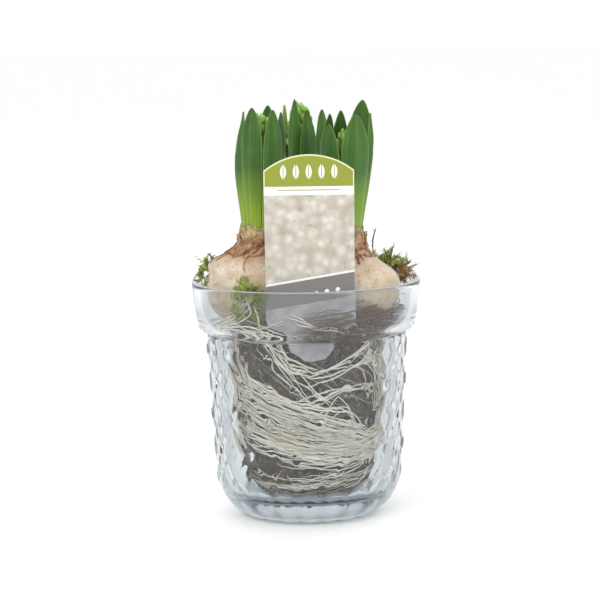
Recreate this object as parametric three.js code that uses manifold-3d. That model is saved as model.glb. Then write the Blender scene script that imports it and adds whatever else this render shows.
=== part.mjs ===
// Three hyacinths in green bud, with bulbs, root ball, moss and plant label, in a pressed glass pot.
// Millimetres, +Z up. The origin is the middle of the pot's foot, and the label faces -Y.
import * as THREE from "three";
import { mergeVertices } from "three/addons/utils/BufferGeometryUtils.js";
import Module from "manifold-3d";

const wasm = await Module();
wasm.setup();

// Clearance between pieces that touch
const GAP = 0.3;

// Glass pot
const RIM_RADIUS = 65;
const POT_HEIGHT = 134;
const COLLAR = { bottom: 108, lowRadius: 62, wall: 4, lip: 1.6 };
const BODY = { top: 106, topRadius: 56, lowRadius: 52, wall: 4 };
const FOOT_RADIUS = 28;
const OUTER_CORNER = 26;
const INNER_CORNER = 18;
const FLOOR = 12;
const DIAMOND_COLUMNS = 12;
const RELIEF = { level: 96, pitch: 9.25, levels: 9, boss: 1.5, ridge: 0.9, facet: 0.3 };
const POT_SIDES = 4 * DIAMOND_COLUMNS;
const BEND = 60;

// Root ball, its shape the inside of a nursery pot
const SOIL = {
  top: 106, topRadius: 44.5, shoulder: 2.5, lowRadius: 36.5, heel: 21, baseRadius: 30, ring: 13,
  dent: 0.9, sides: 24, seed: 71,
};

// Bulbs, each on its basal plate in a seat of the soil
const SEAT = { radius: 8, depth: 3 };
const BULB = { height: 58, neckRadius: 11.2, socketRadius: 10, socketDepth: 11, sides: 18 };

// Roots on the flank of the root ball
const STRAND = { count: 4, radius: 0.62, steps: 10, layer: 1.45, lowest: [20, 60], wave: [1.5, 3.5] };
const CROWN = { inner: 8.3, outer: 10.8, height: 1.6 };

// Leaves stand in two rings in the neck of the bulb, round the flower stalk
const LEAF = {
  rows: 10, thickness: 2, edge: 0.8, flatten: 0.16, taperStart: 0.7, roundness: 0.6, narrowest: 0.04, hood: 1.6,
};
const RINGS = { outer: { neck: 8.1, wide: 13 }, inner: { neck: 5.3, wide: 9.2 } };
const STALK = { radius: 3.1, sides: 8 };

// A plant leans evenly from its neck to its top, which are given at these heights over the soil
const LEAN = { neck: 45, top: 130 };
const HEAD = { radius: 5.5, length: 27, buds: 17, budLength: 3.9, budRadius: 2 };

// Plant label
const LABEL = {
  width: 49.6, lowWidth: 48.6, thickness: 0.8, top: 207.5, shoulder: 198.7, waist: 118, stakeTop: 106, tip: 93.5,
  stakeWidth: 26, x: 2.3, y: -45.25, tilt: 0.15, lean: 1.2,
};

const PLANTS = [
  {
    name: "left", bulb: [-28.9, -12], radius: 27.1, shoulder: 1.06, swell: 9, neck: [-25.8, -12], top: [-23.4, -13],
    headTop: 231, seed: 11, strandLayer: 0,
    strands: [{ from: 172, to: 210, sweep: 110 }, { from: 214, to: 251, sweep: 80 }],
    leaves: [
      { angle: -113, ring: "outer", height: 232.5, spread: 29, out: 0.6 },
      { angle: -49, ring: "outer", height: 231, spread: 33, out: -1 },
      { angle: 25, ring: "outer", height: 229, spread: 28, out: 1 },
      { angle: 60, ring: "inner", height: 233, spread: 44, out: 0.3 },
      { angle: 184, ring: "outer", height: 230, spread: 30, out: -1.7, twist: 12 },
    ],
  },
  {
    name: "right", bulb: [26.2, -12], radius: 27.1, shoulder: 0.82, swell: 2.5, neck: [22.2, -12], top: [24.5, -12],
    headTop: 222, seed: 23, strandLayer: 1,
    strands: [{ from: 298, to: 330, sweep: -75 }, { from: 334, to: 371, sweep: -110 }],
    leaves: [
      { angle: -63, ring: "outer", height: 227.9, spread: 40, out: -0.5 },
      { angle: -137, ring: "outer", height: 222.6, spread: 32, out: 2.4 },
      { angle: 1, ring: "outer", height: 228, spread: 22, out: 1.8, turn: -6, twist: -16 },
      { angle: 62, ring: "outer", height: 235, spread: 37, out: 1.8, turn: -16 },
      { angle: 118, ring: "inner", height: 229.5, spread: 42, out: -1 },
      { angle: 158, ring: "outer", height: 227.8, spread: 27, out: -1.4, twist: -26 },
    ],
  },
  {
    name: "back", bulb: [-1.5, 33], radius: 24.8, shoulder: 1, swell: 0, neck: [-1.5, 32], top: [-1.5, 30],
    headTop: 235, seed: 37, strandLayer: 2,
    strands: [{ from: 31, to: 72, sweep: -65 }, { from: 108, to: 149, sweep: 65 }],
    leaves: [
      { angle: -68, ring: "outer", height: 229, spread: 24, out: -1.3 },
      { angle: -117, ring: "inner", height: 235, spread: 27, out: -0.5 },
      { angle: -12, ring: "outer", height: 228.8, spread: 28, out: 1.2, twist: -26 },
      { angle: 160, ring: "inner", height: 231.4, spread: 31, out: 0 },
      { angle: 84, ring: "inner", height: 227, spread: 42, out: 0 },
    ],
  },
];

const WADS = [
  { name: "moss_left", at: [-54, 8, 133], size: [9, 15, 12], sprigs: 24, seed: 3 },
  { name: "moss_right", at: [49, 2, 135.5], size: [14, 15, 9], sprigs: 28, seed: 5 },
  { name: "moss_front", at: [-34, -44, 124], size: [11, 8, 13], sprigs: 22, seed: 8 },
  { name: "moss_rear_left", at: [-39, 34, 128], size: [13, 13, 14], sprigs: 24, seed: 13 },
  { name: "moss_rear_right", at: [38, 35, 128], size: [13, 13, 14], sprigs: 24, seed: 17 },
];

const MOSS = { core: 0.62, sprig: [8, 13], sprigRadius: 1.3, sunk: 5, room: 26, clear: 0.5 };

const COLOURS = {
  glass: 0xdfe8e8, soil: 0x4b443d, root: 0xd9d4bf, bulb: 0xdcc4a0, leaf: 0x4d7a35,
  flower: 0x8fc25a, moss: 0x6f8b35, label: 0xe2e0da,
};

// Turn from one bud or sprig to the next on a spiral
const GOLDEN_TURN = Math.PI * (3 - Math.sqrt(5));

// Seeded random numbers from 0 to 1
function randomFrom(seed) {
  let state = seed * 2654435761;
  return () => {
    state = (state + 0x6d2b79f5) | 0;
    let word = Math.imul(state ^ (state >>> 15), 1 | state);
    word = (word + Math.imul(word ^ (word >>> 7), 61 | word)) ^ word;
    return ((word ^ (word >>> 14)) >>> 0) / 4294967296;
  };
}

const mix = THREE.MathUtils.lerp;
const smooth = THREE.MathUtils.smoothstep;
const radians = THREE.MathUtils.degToRad;

function around(radius, angle, z, centre = [0, 0]) {
  return new THREE.Vector3(centre[0] + radius * Math.cos(angle), centre[1] + radius * Math.sin(angle), z);
}

function circle(radius, z, sides, centre) {
  return Array.from({ length: sides }, (_, i) => around(radius, (i / sides) * 2 * Math.PI, z, centre));
}

// A closed body through rings of points, each counter-clockwise about the way on to the next ring
function skin(rings, flip = () => false) {
  const count = rings[0].length;
  const points = rings.flat();
  const faces = [];
  for (let row = 0; row + 1 < rings.length; row++) {
    for (let i = 0; i < count; i++) {
      const a = row * count + i;
      const b = row * count + ((i + 1) % count);
      const c = b + count;
      const d = a + count;
      if (flip(row, i)) faces.push(a, b, d, b, c, d);
      else faces.push(a, b, c, a, c, d);
    }
  }
  for (const [row, turned] of [[0, true], [rings.length - 1, false]]) {
    const middle = new THREE.Vector3();
    for (const point of rings[row]) middle.addScaledVector(point, 1 / count);
    const hub = points.push(middle) - 1;
    for (let i = 0; i < count; i++) {
      const a = row * count + i;
      const b = row * count + ((i + 1) % count);
      faces.push(...(turned ? [hub, b, a] : [hub, a, b]));
    }
  }
  const geometry = new THREE.BufferGeometry().setFromPoints(points);
  geometry.setIndex(faces);
  return geometry;
}

function toSolid(geometry) {
  const plain = geometry.clone();
  plain.deleteAttribute("normal");
  plain.deleteAttribute("uv");
  const merged = mergeVertices(plain, 1e-4);
  return new wasm.Manifold(new wasm.Mesh({
    numProp: 3,
    vertProperties: new Float32Array(merged.attributes.position.array),
    triVerts: new Uint32Array(merged.index.array),
  }));
}

function toGeometry(solid) {
  const mesh = solid.getMesh();
  const geometry = new THREE.BufferGeometry();
  geometry.setAttribute("position", new THREE.BufferAttribute(mesh.vertProperties, 3));
  geometry.setIndex(new THREE.BufferAttribute(mesh.triVerts, 1));
  return geometry;
}

// Only the largest body is kept, so a cut leaves no loose scrap
function largest(solid) {
  return solid.decompose().reduce((best, piece) => (piece.volume() > best.volume() ? piece : best));
}

function paint(name, geometry, colour, roughness, metalness = 0) {
  const material = new THREE.MeshStandardMaterial({ color: colour, roughness, metalness });
  const mesh = new THREE.Mesh(geometry, material);
  mesh.name = name;
  return mesh;
}

function bodyRadius(z) {
  return mix(BODY.lowRadius, BODY.topRadius, (z - OUTER_CORNER) / (BODY.top - OUTER_CORNER));
}

function innerRadius(z) {
  const straight = bodyRadius(z) - BODY.wall;
  const start = FLOOR + INNER_CORNER;
  if (z >= start) return straight;
  const side = bodyRadius(start) - BODY.wall;
  return side - INNER_CORNER + Math.sqrt(INNER_CORNER ** 2 - (start - z) ** 2);
}

function soilRadius(z) {
  return mix(SOIL.lowRadius, SOIL.topRadius, (z - SOIL.heel) / (SOIL.top - SOIL.heel));
}

// Height of the pressed pattern at a column and level of the half-pitch lattice
function reliefHeight(column, level) {
  if (level < 0 || (column + level) % 2 === 0) return 0;
  if (level % 2 === 1) return RELIEF.ridge;
  const crossing = ((column - 1) / 2 + level / 2) % 2 === 0;
  return crossing ? RELIEF.boss : RELIEF.facet;
}

// The outside follows the foot, corner, body, collar and lip, and the inside comes back down to the floor
function glassPot() {
  const levelOf = new Map();
  const profile = [];
  const addRelief = (radius, z, level) => {
    levelOf.set(profile.length, level);
    profile.push([radius, z]);
  };
  profile.push([FOOT_RADIUS, 0]);
  const cornerLevels = RELIEF.levels + 2;
  const lowest = RELIEF.level - RELIEF.pitch * (RELIEF.levels - 1);
  const lowAngle = Math.asin(1 - lowest / OUTER_CORNER);
  for (let level = cornerLevels; level >= RELIEF.levels; level--) {
    const angle = mix(lowAngle, Math.PI / 2, (level - RELIEF.levels + 1) / 4);
    const reach = BODY.lowRadius - FOOT_RADIUS;
    addRelief(FOOT_RADIUS + reach * Math.cos(angle), OUTER_CORNER * (1 - Math.sin(angle)), level);
  }
  for (let level = RELIEF.levels - 1; level >= 0; level--) {
    const z = RELIEF.level - RELIEF.pitch * level;
    addRelief(bodyRadius(Math.max(z, OUTER_CORNER)), z, level);
  }
  const rimInside = RIM_RADIUS - COLLAR.wall;
  const neckInside = BODY.topRadius - BODY.wall;
  profile.push([BODY.topRadius, BODY.top - 1], [BODY.topRadius + 3, BODY.top]);
  profile.push([COLLAR.lowRadius - 0.8, COLLAR.bottom - 1], [COLLAR.lowRadius, COLLAR.bottom + 1.5]);
  profile.push([RIM_RADIUS, POT_HEIGHT - COLLAR.lip], [RIM_RADIUS - COLLAR.lip, POT_HEIGHT]);
  profile.push([rimInside + COLLAR.lip, POT_HEIGHT], [rimInside, POT_HEIGHT - COLLAR.lip]);
  profile.push([COLLAR.lowRadius - COLLAR.wall, COLLAR.bottom + 2], [neckInside + 1.2, BODY.top - 1]);
  profile.push([neckInside, BODY.top - 5], [innerRadius(BEND), BEND]);
  const start = FLOOR + INNER_CORNER;
  for (const angle of [0, 45, 90].map(radians)) {
    const side = bodyRadius(start) - BODY.wall - INNER_CORNER;
    profile.push([side + INNER_CORNER * Math.cos(angle), start - INNER_CORNER * Math.sin(angle)]);
  }
  const rings = profile.map(([radius, z], row) => Array.from({ length: POT_SIDES }, (_, column) => {
    const raised = levelOf.has(row) ? reliefHeight(column, levelOf.get(row)) : 0;
    const low = Math.max(0, 1 - z / OUTER_CORNER);
    const angle = (column / POT_SIDES) * 2 * Math.PI;
    return around(radius + raised * (1 - 0.4 * low), angle, z - raised * 0.5 * low);
  }));
  for (const ring of rings) for (const point of ring) point.z = Math.max(point.z, 0);
  return skin(rings, (row, column) => levelOf.has(row) && (column + levelOf.get(row)) % 2 === 0);
}

function soilBall() {
  const random = randomFrom(SOIL.seed);
  const levels = [[SOIL.baseRadius, FLOOR + GAP], [SOIL.lowRadius - 1.5, FLOOR + 4]];
  levels.push([SOIL.lowRadius, SOIL.heel]);
  for (let z = SOIL.heel + SOIL.ring; z < SOIL.top - 6; z += SOIL.ring) levels.push([soilRadius(z), z]);
  levels.push([SOIL.topRadius, SOIL.top - 2], [SOIL.topRadius - SOIL.shoulder, SOIL.top]);
  const rings = levels.map(([radius, z], row) => Array.from({ length: SOIL.sides }, (_, i) => {
    const dent = row === 0 ? 0 : SOIL.dent * random();
    return around(radius - dent, (i / SOIL.sides) * 2 * Math.PI, z);
  }));
  let solid = toSolid(skin(rings));
  for (const plant of PLANTS) {
    const seat = new THREE.CylinderGeometry(SEAT.radius, SEAT.radius, 2 * SEAT.depth, BULB.sides);
    seat.rotateX(Math.PI / 2);
    seat.translate(plant.bulb[0], plant.bulb[1], SOIL.top);
    solid = solid.subtract(toSolid(seat));
  }
  return toGeometry(solid);
}

// Outline of a bulb as [share of its radius, height over the soil], from the plate to the papery neck
function bulbRings(plant, grow = 0) {
  const base = SOIL.top - SEAT.depth + GAP;
  const outline = [
    [0, 0], [0, 6], [0.42, 9], [0.78, 13.5], [0.95, 20], [1, 27], [0.99, 33.5],
    [0.9, 38.5], [0.7, 42.5], [0.47, 46.5], [0.28, 50],
  ];
  const plate = SEAT.radius - GAP;
  const random = randomFrom(plant.seed);
  const phase = random() * 6;
  const ring = (radius, height, share, lift) => Array.from({ length: BULB.sides }, (_, i) => {
    const angle = (i / BULB.sides) * 2 * Math.PI;
    const lump = 0.008 * (Math.sin(3 * angle + phase) + Math.sin(5 * angle - 2 * phase) - 2);
    const drift = smooth(height, 34, BULB.height - 6);
    const swell = plant.swell * share * smooth(height, 36, 45) * (1 - smooth(height, 48, 55));
    const centre = [mix(plant.bulb[0], plant.neck[0], drift) - swell, mix(plant.bulb[1], plant.neck[1], drift)];
    const ragged = lift * (Math.sin(4 * angle + phase) + 0.8 * Math.sin(7 * angle + 2 * phase));
    return around(radius * (1 + share * lump) + grow, angle, base + height + ragged, centre);
  });
  const full = (share, height) => share * (height > 34 ? plant.shoulder : 1);
  const rings = outline.map(([share, height]) => (
    ring(mix(plate, plant.radius, full(share, height)), height, share, 0)
  ));
  rings.push(ring(BULB.neckRadius, BULB.height - 4.5, 0, 0));
  rings.push(ring(BULB.neckRadius - 0.1, BULB.height - 1, 0, 0.8));
  return { rings, ring };
}

function bulb(plant) {
  const { rings, ring } = bulbRings(plant);
  rings.push(ring(BULB.socketRadius, BULB.height - 1, 0, 0.8));
  rings.push(ring(BULB.socketRadius - 0.1, BULB.height - BULB.socketDepth, 0, 0));
  return skin(rings);
}

// A thin tube through points, its section turned along with the path
function tube(points, radius, sides) {
  const tangentAt = (i) => points[Math.min(i + 1, points.length - 1)].clone()
    .sub(points[Math.max(i - 1, 0)]).normalize();
  let normal = new THREE.Vector3(0, 0, 1);
  const rings = points.map((point, i) => {
    const tangent = tangentAt(i);
    normal = normal.clone().addScaledVector(tangent, -normal.dot(tangent)).normalize();
    const binormal = tangent.clone().cross(normal);
    return Array.from({ length: sides }, (_, k) => {
      const angle = (k / sides) * 2 * Math.PI;
      return point.clone().addScaledVector(normal, radius * Math.cos(angle))
        .addScaledVector(binormal, radius * Math.sin(angle));
    });
  });
  return skin(rings);
}

// One root: out from the crown over the top, round the shoulder and down the flank in a long sweep
function strand(plant, fan, share, random) {
  const start = radians(mix(fan.from, fan.to, share));
  const sweep = radians(fan.sweep * mix(0.35, 1, random()));
  const bed = SOIL.top + GAP + STRAND.radius;
  const lift = 2 * GAP + STRAND.radius + plant.strandLayer * STRAND.layer;
  const end = mix(...STRAND.lowest, random());
  const wave = mix(...STRAND.wave, random());
  const points = [around(SOIL.topRadius - SOIL.shoulder, start, bed + 2 * GAP)];
  const outward = Math.atan2(points[0].y - plant.bulb[1], points[0].x - plant.bulb[0]);
  points.unshift(around(CROWN.outer + 1, outward, bed, plant.bulb));
  points.unshift(around((CROWN.inner + CROWN.outer) / 2, outward, bed, plant.bulb));
  for (let i = 0; i <= STRAND.steps; i++) {
    const along = i / STRAND.steps;
    const ripple = wave * Math.min(1, 4 * along) * Math.sin(7 * along + 9 * share);
    const z = mix(SOIL.top - 1.5, end, Math.sin(along * Math.PI / 2)) + (i ? ripple : 0);
    points.push(around(soilRadius(Math.min(z, SOIL.top)) + lift, start + sweep * along ** 1.8, z));
  }
  return tube(points, STRAND.radius, 3);
}

function crown(plant) {
  const low = SOIL.top + GAP;
  const disc = new THREE.CylinderGeometry(CROWN.outer, CROWN.outer, CROWN.height, 16);
  const hole = new THREE.CylinderGeometry(CROWN.inner, CROWN.inner, 3 * CROWN.height, 16);
  const place = (geometry) => {
    geometry.rotateX(Math.PI / 2);
    geometry.translate(plant.bulb[0], plant.bulb[1], low + CROWN.height / 2);
    return toSolid(geometry);
  };
  return place(disc).subtract(place(hole));
}

function roots(plant) {
  const random = randomFrom(plant.seed + 100);
  let solid = crown(plant);
  for (const fan of plant.strands) {
    for (let i = 0; i < STRAND.count; i++) {
      const share = (i + 0.6 * random()) / (STRAND.count - 0.4);
      solid = solid.add(toSolid(strand(plant, fan, share, random)));
    }
  }
  return toGeometry(largest(solid));
}

function plantAxis(plant, z) {
  const along = (z - SOIL.top - LEAN.neck) / (LEAN.top - LEAN.neck);
  return [mix(plant.neck[0], plant.top[0], along), mix(plant.neck[1], plant.top[1], along)];
}

function socketFloor() {
  return SOIL.top - SEAT.depth + GAP + BULB.height - BULB.socketDepth + GAP;
}

// A channelled blade on the ring of leaves, which may turn and twist as it rises to a hooded, rounded point
function leafBlade(plant, leaf) {
  const base = socketFloor();
  const ring = RINGS[leaf.ring];
  const across = [-1, -0.55, 0, 0.55, 1];
  const rows = [];
  for (let row = 0; row < LEAF.rows; row++) {
    const along = Math.sin((row / (LEAF.rows - 1)) * Math.PI / 2) ** 1.1;
    const z = mix(base, leaf.height, along);
    const taper = Math.max(0, (along - LEAF.taperStart) / (1 - LEAF.taperStart));
    const spread = radians(leaf.spread) * Math.max((1 - taper ** 2) ** LEAF.roundness, LEAF.narrowest);
    const opening = mix(ring.neck, ring.wide, smooth(along, 0.05, 0.72));
    const radius = opening + leaf.out * smooth(along, 0.5, 1) - LEAF.hood * smooth(along, 0.8, 1);
    const turn = radians(leaf.angle + (leaf.turn ?? 0) * along ** 2);
    const facing = turn + radians(leaf.twist ?? 0) * smooth(along, 0.15, 0.8);
    const midrib = around(radius, turn, z, plantAxis(plant, z));
    const centre = [midrib.x - radius * Math.cos(facing), midrib.y - radius * Math.sin(facing)];
    const thin = 1 - 0.5 * smooth(along, 0.6, 1);
    const side = (offset, outward) => {
      const angle = spread * offset;
      const half = thin * mix(LEAF.thickness, LEAF.edge / thin, offset ** 2) / 2;
      return around(radius * (1 + LEAF.flatten * angle ** 2) + outward * half, facing + angle, z, centre);
    };
    rows.push([...across.map((u) => side(u, 1)), ...across.map((u) => side(-u, -1))]);
  }
  return skin(rows, (_, i) => i >= across.length);
}

// A stalk with a tight spike of green buds, set in a spiral round its core
function flower(plant) {
  const random = randomFrom(plant.seed + 7);
  const low = plant.headTop - HEAD.length - 3;
  const outline = [
    [STALK.radius, socketFloor()], [STALK.radius, low - 6], [HEAD.radius - 0.6, low],
    [HEAD.radius, low + 0.55 * HEAD.length], [HEAD.radius - 1.2, low + 0.8 * HEAD.length],
    [1.4, low + HEAD.length],
  ];
  const rings = outline.map(([radius, z]) => circle(radius, z, STALK.sides, plantAxis(plant, z)));
  let solid = toSolid(skin(rings));
  for (let i = 0; i < HEAD.buds; i++) {
    const along = (i + 0.5) / HEAD.buds;
    const z = low + 1 + (HEAD.length - 2) * along;
    const reach = HEAD.radius * Math.sqrt(Math.max(0.05, 1 - Math.max(0, (along - 0.45) / 0.6) ** 2)) - 0.3;
    const angle = i * GOLDEN_TURN;
    const bud = new THREE.SphereGeometry(1, 5, 4);
    bud.rotateX(Math.PI / 2);
    bud.scale(HEAD.budRadius, HEAD.budRadius, HEAD.budLength * (0.9 + 0.2 * random()));
    bud.rotateY(radians(mix(34, 8, along)));
    bud.rotateZ(angle);
    const place = around(reach, angle, z, plantAxis(plant, z));
    bud.translate(place.x, place.y, place.z);
    solid = solid.add(toSolid(bud));
  }
  return toGeometry(largest(solid));
}

// The room that moss may fill: inside the glass over the soil, and a little over the rim
function potInside() {
  const body = BODY.topRadius - BODY.wall - 1;
  const rim = RIM_RADIUS - COLLAR.wall - 0.8;
  const over = RIM_RADIUS - 2 * GAP;
  const outline = [
    [body, SOIL.top + GAP], [body, BODY.top + 1], [COLLAR.lowRadius - COLLAR.wall - 1, COLLAR.bottom + 4],
    [rim, POT_HEIGHT - 2], [rim, POT_HEIGHT + GAP], [over, POT_HEIGHT + 5 * GAP],
    [over, POT_HEIGHT + MOSS.room],
  ];
  return toSolid(skin(outline.map(([radius, z]) => circle(radius, z, POT_SIDES))));
}

// A wad of moss: a lumpy pad that pointed sprigs stand out of, cut clear of bulbs, roots and glass
function mossWad(wad) {
  const random = randomFrom(wad.seed);
  const at = new THREE.Vector3(...wad.at);
  const size = new THREE.Vector3(...wad.size);
  const ball = new THREE.IcosahedronGeometry(1, 1);
  const pad = mergeVertices(ball.deleteAttribute("normal").deleteAttribute("uv"), 1e-4);
  const corners = pad.attributes.position;
  for (let i = 0; i < corners.count; i++) {
    const corner = new THREE.Vector3().fromBufferAttribute(corners, i);
    corner.multiplyScalar(MOSS.core * mix(0.8, 1.1, random())).multiply(size).add(at);
    corners.setXYZ(i, corner.x, corner.y, corner.z);
  }
  let solid = toSolid(pad);
  for (let i = 0; i < wad.sprigs; i++) {
    const turn = i * GOLDEN_TURN;
    const rise = mix(-0.2, 0.95, random());
    const way = around(Math.sqrt(1 - rise * rise), turn, rise).normalize();
    const length = MOSS.sunk + mix(...MOSS.sprig, random()) / 2;
    const sprig = new THREE.ConeGeometry(MOSS.sprigRadius, length, 3);
    sprig.translate(0, length / 2 - MOSS.sunk, 0);
    const tilt = new THREE.Vector3(way.x, way.y, way.z + 0.3 + 0.7 * random()).normalize();
    sprig.applyQuaternion(new THREE.Quaternion().setFromUnitVectors(new THREE.Vector3(0, 1, 0), tilt));
    const foot = way.clone().multiply(size).multiplyScalar(MOSS.core).add(at);
    sprig.translate(foot.x, foot.y, foot.z);
    solid = solid.add(toSolid(sprig));
  }
  solid = solid.intersect(potInside());
  for (const plant of PLANTS) solid = solid.subtract(toSolid(skin(bulbRings(plant, MOSS.clear).rings)));
  return toGeometry(largest(solid));
}

// A flat push-in label with an arched top, narrowing to a round-ended stake
function label() {
  const half = LABEL.width / 2;
  const low = LABEL.lowWidth / 2;
  const stake = LABEL.stakeWidth / 2;
  const rise = LABEL.top - LABEL.shoulder;
  const arch = (half * half + rise * rise) / (2 * rise);
  const sweep = Math.asin(half / arch);
  const outline = new THREE.Shape();
  outline.moveTo(-low, LABEL.waist);
  outline.quadraticCurveTo(-low, LABEL.waist - 5, -low + 5, LABEL.waist - 7);
  outline.quadraticCurveTo(-stake, LABEL.stakeTop + 3, -stake, LABEL.stakeTop);
  outline.absellipse(0, LABEL.stakeTop, stake, LABEL.stakeTop - LABEL.tip, Math.PI, 2 * Math.PI, false);
  outline.quadraticCurveTo(stake, LABEL.stakeTop + 3, low - 5, LABEL.waist - 7);
  outline.quadraticCurveTo(low, LABEL.waist - 5, low, LABEL.waist);
  outline.lineTo(half, LABEL.shoulder);
  outline.absarc(0, LABEL.top - arch, arch, Math.PI / 2 - sweep, Math.PI / 2 + sweep, false);
  const plate = new THREE.ExtrudeGeometry(outline, {
    depth: LABEL.thickness, bevelEnabled: false, curveSegments: 5,
  });
  plate.translate(0, -LABEL.tip, -LABEL.thickness / 2);
  plate.rotateX(Math.PI / 2);
  plate.rotateX(-radians(LABEL.lean));
  plate.rotateY(-radians(LABEL.tilt));
  plate.translate(LABEL.x, LABEL.y, LABEL.tip);
  return plate;
}

const planting = new THREE.Group();
planting.add(paint("glass_pot", glassPot(), COLOURS.glass, 0.05));
planting.add(paint("soil", soilBall(), COLOURS.soil, 0.95));
for (const plant of PLANTS) {
  planting.add(paint(`bulb_${plant.name}`, bulb(plant), COLOURS.bulb, 0.6));
  planting.add(paint(`roots_${plant.name}`, roots(plant), COLOURS.root, 0.6));
  plant.leaves.forEach((leaf, i) => {
    planting.add(paint(`leaf_${plant.name}_${i + 1}`, leafBlade(plant, leaf), COLOURS.leaf, 0.4));
  });
  planting.add(paint(`flower_${plant.name}`, flower(plant), COLOURS.flower, 0.45));
}
for (const wad of WADS) planting.add(paint(wad.name, mossWad(wad), COLOURS.moss, 0.9));
planting.add(paint("label", label(), COLOURS.label, 0.35));

export default planting;
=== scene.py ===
"""Three hyacinths in green bud, with bulbs, root ball, moss and label, in a pressed glass pot."""
import math
import random

import bmesh
import bpy
import numpy as np
from bpy.props import FloatProperty, FloatVectorProperty, IntProperty, PointerProperty
from mathutils import Matrix, Vector, noise


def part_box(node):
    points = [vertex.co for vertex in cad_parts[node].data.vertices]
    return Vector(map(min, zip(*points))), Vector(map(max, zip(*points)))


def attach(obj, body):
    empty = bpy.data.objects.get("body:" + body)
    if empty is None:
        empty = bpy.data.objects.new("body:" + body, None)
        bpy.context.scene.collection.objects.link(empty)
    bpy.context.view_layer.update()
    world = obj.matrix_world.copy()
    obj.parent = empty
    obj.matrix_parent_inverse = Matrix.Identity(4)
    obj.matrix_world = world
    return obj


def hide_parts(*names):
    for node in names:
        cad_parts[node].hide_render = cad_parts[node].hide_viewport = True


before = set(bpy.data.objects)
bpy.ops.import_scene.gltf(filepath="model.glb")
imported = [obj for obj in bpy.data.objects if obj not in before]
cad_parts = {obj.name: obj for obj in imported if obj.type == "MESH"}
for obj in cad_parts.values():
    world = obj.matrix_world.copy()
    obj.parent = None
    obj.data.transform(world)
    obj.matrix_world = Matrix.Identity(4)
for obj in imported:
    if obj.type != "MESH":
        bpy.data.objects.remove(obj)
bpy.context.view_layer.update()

bl_info = {
    "name": "Potted Hyacinths",
    "version": (1, 0, 0),
    "blender": (4, 5, 0),
    "location": "3D View > Sidebar > Hyacinths",
    "description": "Leaves, buds, bulbs, roots, moss, label and glass for the packed planting",
    "category": "Object",
}

# Shapes below are in millimetres, and meshes are made in metres
MM = 0.001
TURN = 2 * math.pi
GOLDEN_TURN = math.pi * (3 - math.sqrt(5))

# Glass pot
RIM_RADIUS, _, POT_HEIGHT = np.array(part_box("glass_pot")[1]) / MM
COLLAR = {"bottom": 108, "low_radius": 62, "wall": 4}
BODY = {"top": 106, "top_radius": 56, "low_radius": 52, "wall": 4}
FOOT_RADIUS = 28
OUTER_CORNER = 26
INNER_CORNER = 18
FLOOR = 12
RELIEF_TOP = 96
RELIEF_STEP = 18.5
RELIEF_TURN = math.radians(15)
RELIEF_WIDTH = 14.3
# Half width and half height of the oval bosses and of the small diamonds
BOSS = (2.5, 3.5)
DIAMOND = (4.4, 6.6)
# Ridges and diamonds stand lower than the bosses; a ridge's width is a share of a step
RIDGE_HEIGHT = 0.3
RIDGE_WIDTH = 0.07
DIAMOND_HEIGHT = 0.7
# Radius and height across the shallow hollow under the foot
UNDERSIDE = [(6, 1), (14, 0.9), (20, 0.5), (23, 0.1), (25, 0)]
POT_COLUMNS = 360
POT_STEP = 0.85
RING_STEP = 1.7
SCALLOPS = 20
SCALLOP_DEPTH = 0.65
# How far the pressed wall stands out from its outline, and how high up the foot is frosted
WALL_LIFT = 0.7
FROST_TOP = 4

# Root ball
SOIL_FOOT, SOIL_TOP = (corner[2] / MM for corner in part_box("soil"))
SOIL = {"top_radius": 44.5, "low_radius": 36.5, "heel": 21, "base_radius": 30, "shoulder": 2.5}
SOIL_COLUMNS = 150
# A crumb is a rough ball of peat: angles round it, and its radius and height as shares of its size
CRUMB_ANGLES = (0.2, 1.4, 2.7, 3.9, 5.3)
CRUMB_OUTLINE = [(0.4, -0.6), (1, -0.1), (0.7, 0.6)]
CRUMB_DENSITY = 26000.0
# Lumps and grain of the peat: how close, and how high
PEAT_LUMPS = (0.16, 0.9)
PEAT_GRAIN = (0.9, 0.35)

# Bulbs: their outline is a share of the radius and a height over the basal plate
BULB_BASE = SOIL_TOP - 2.7
BULB_OUTLINE = [
    (0, 0), (0, 6), (0.42, 9), (0.78, 13.5), (0.95, 20), (1, 27), (0.99, 33.5),
    (0.9, 38.5), (0.7, 42.5), (0.47, 46.5), (0.28, 50),
]
PLATE_RADIUS = 7.7
NECK_RADIUS = 11.2
SOCKET_RADIUS = 10
BULB_HEIGHT = 58
SHOULDER = 34
BODY_TOP = 50
NECK_BOTTOM = 54
SWELL_RISE = (36, 45)
SWELL_END = (48, 55)
# Ribs run up a bulb and lumps swell it: height, how close round it, and how close up it
BULB_RIBS = (0.55, 5, 0.02)
BULB_LUMPS = (0.7, 1.6, 0.05)
BULB_ROWS = 68
BULB_COLUMNS = 120
SOCKET_FLOOR = BULB_BASE + BULB_HEIGHT - 10.7
# Height over the plate and radius, over the lip of the neck and down into its socket
NECK_RINGS = [
    (56, NECK_RADIUS), (57, NECK_RADIUS - 0.4), (57, SOCKET_RADIUS + 0.3), (55.5, SOCKET_RADIUS),
    (51, SOCKET_RADIUS), (47.4, SOCKET_RADIUS), (47.2, 5), (47.2, 1),
]
# Strips of torn skin on each bulb: round the neck, down the shoulder and in the pale sheath
TORN_STRIPS = 70
THIN_STRIPS = 8
SHEATH_STRIPS = 14
STRIP_ROWS = 11
STRIP_COLUMNS = 9

# Leaves stand in two rings round the flower stalk
RINGS = {"outer": (8.1, 13), "inner": (5.3, 9.2)}
LEAF_ROWS = 40
LEAF_POINTS = 15
LEAF_MARGIN = 0.55
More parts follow.
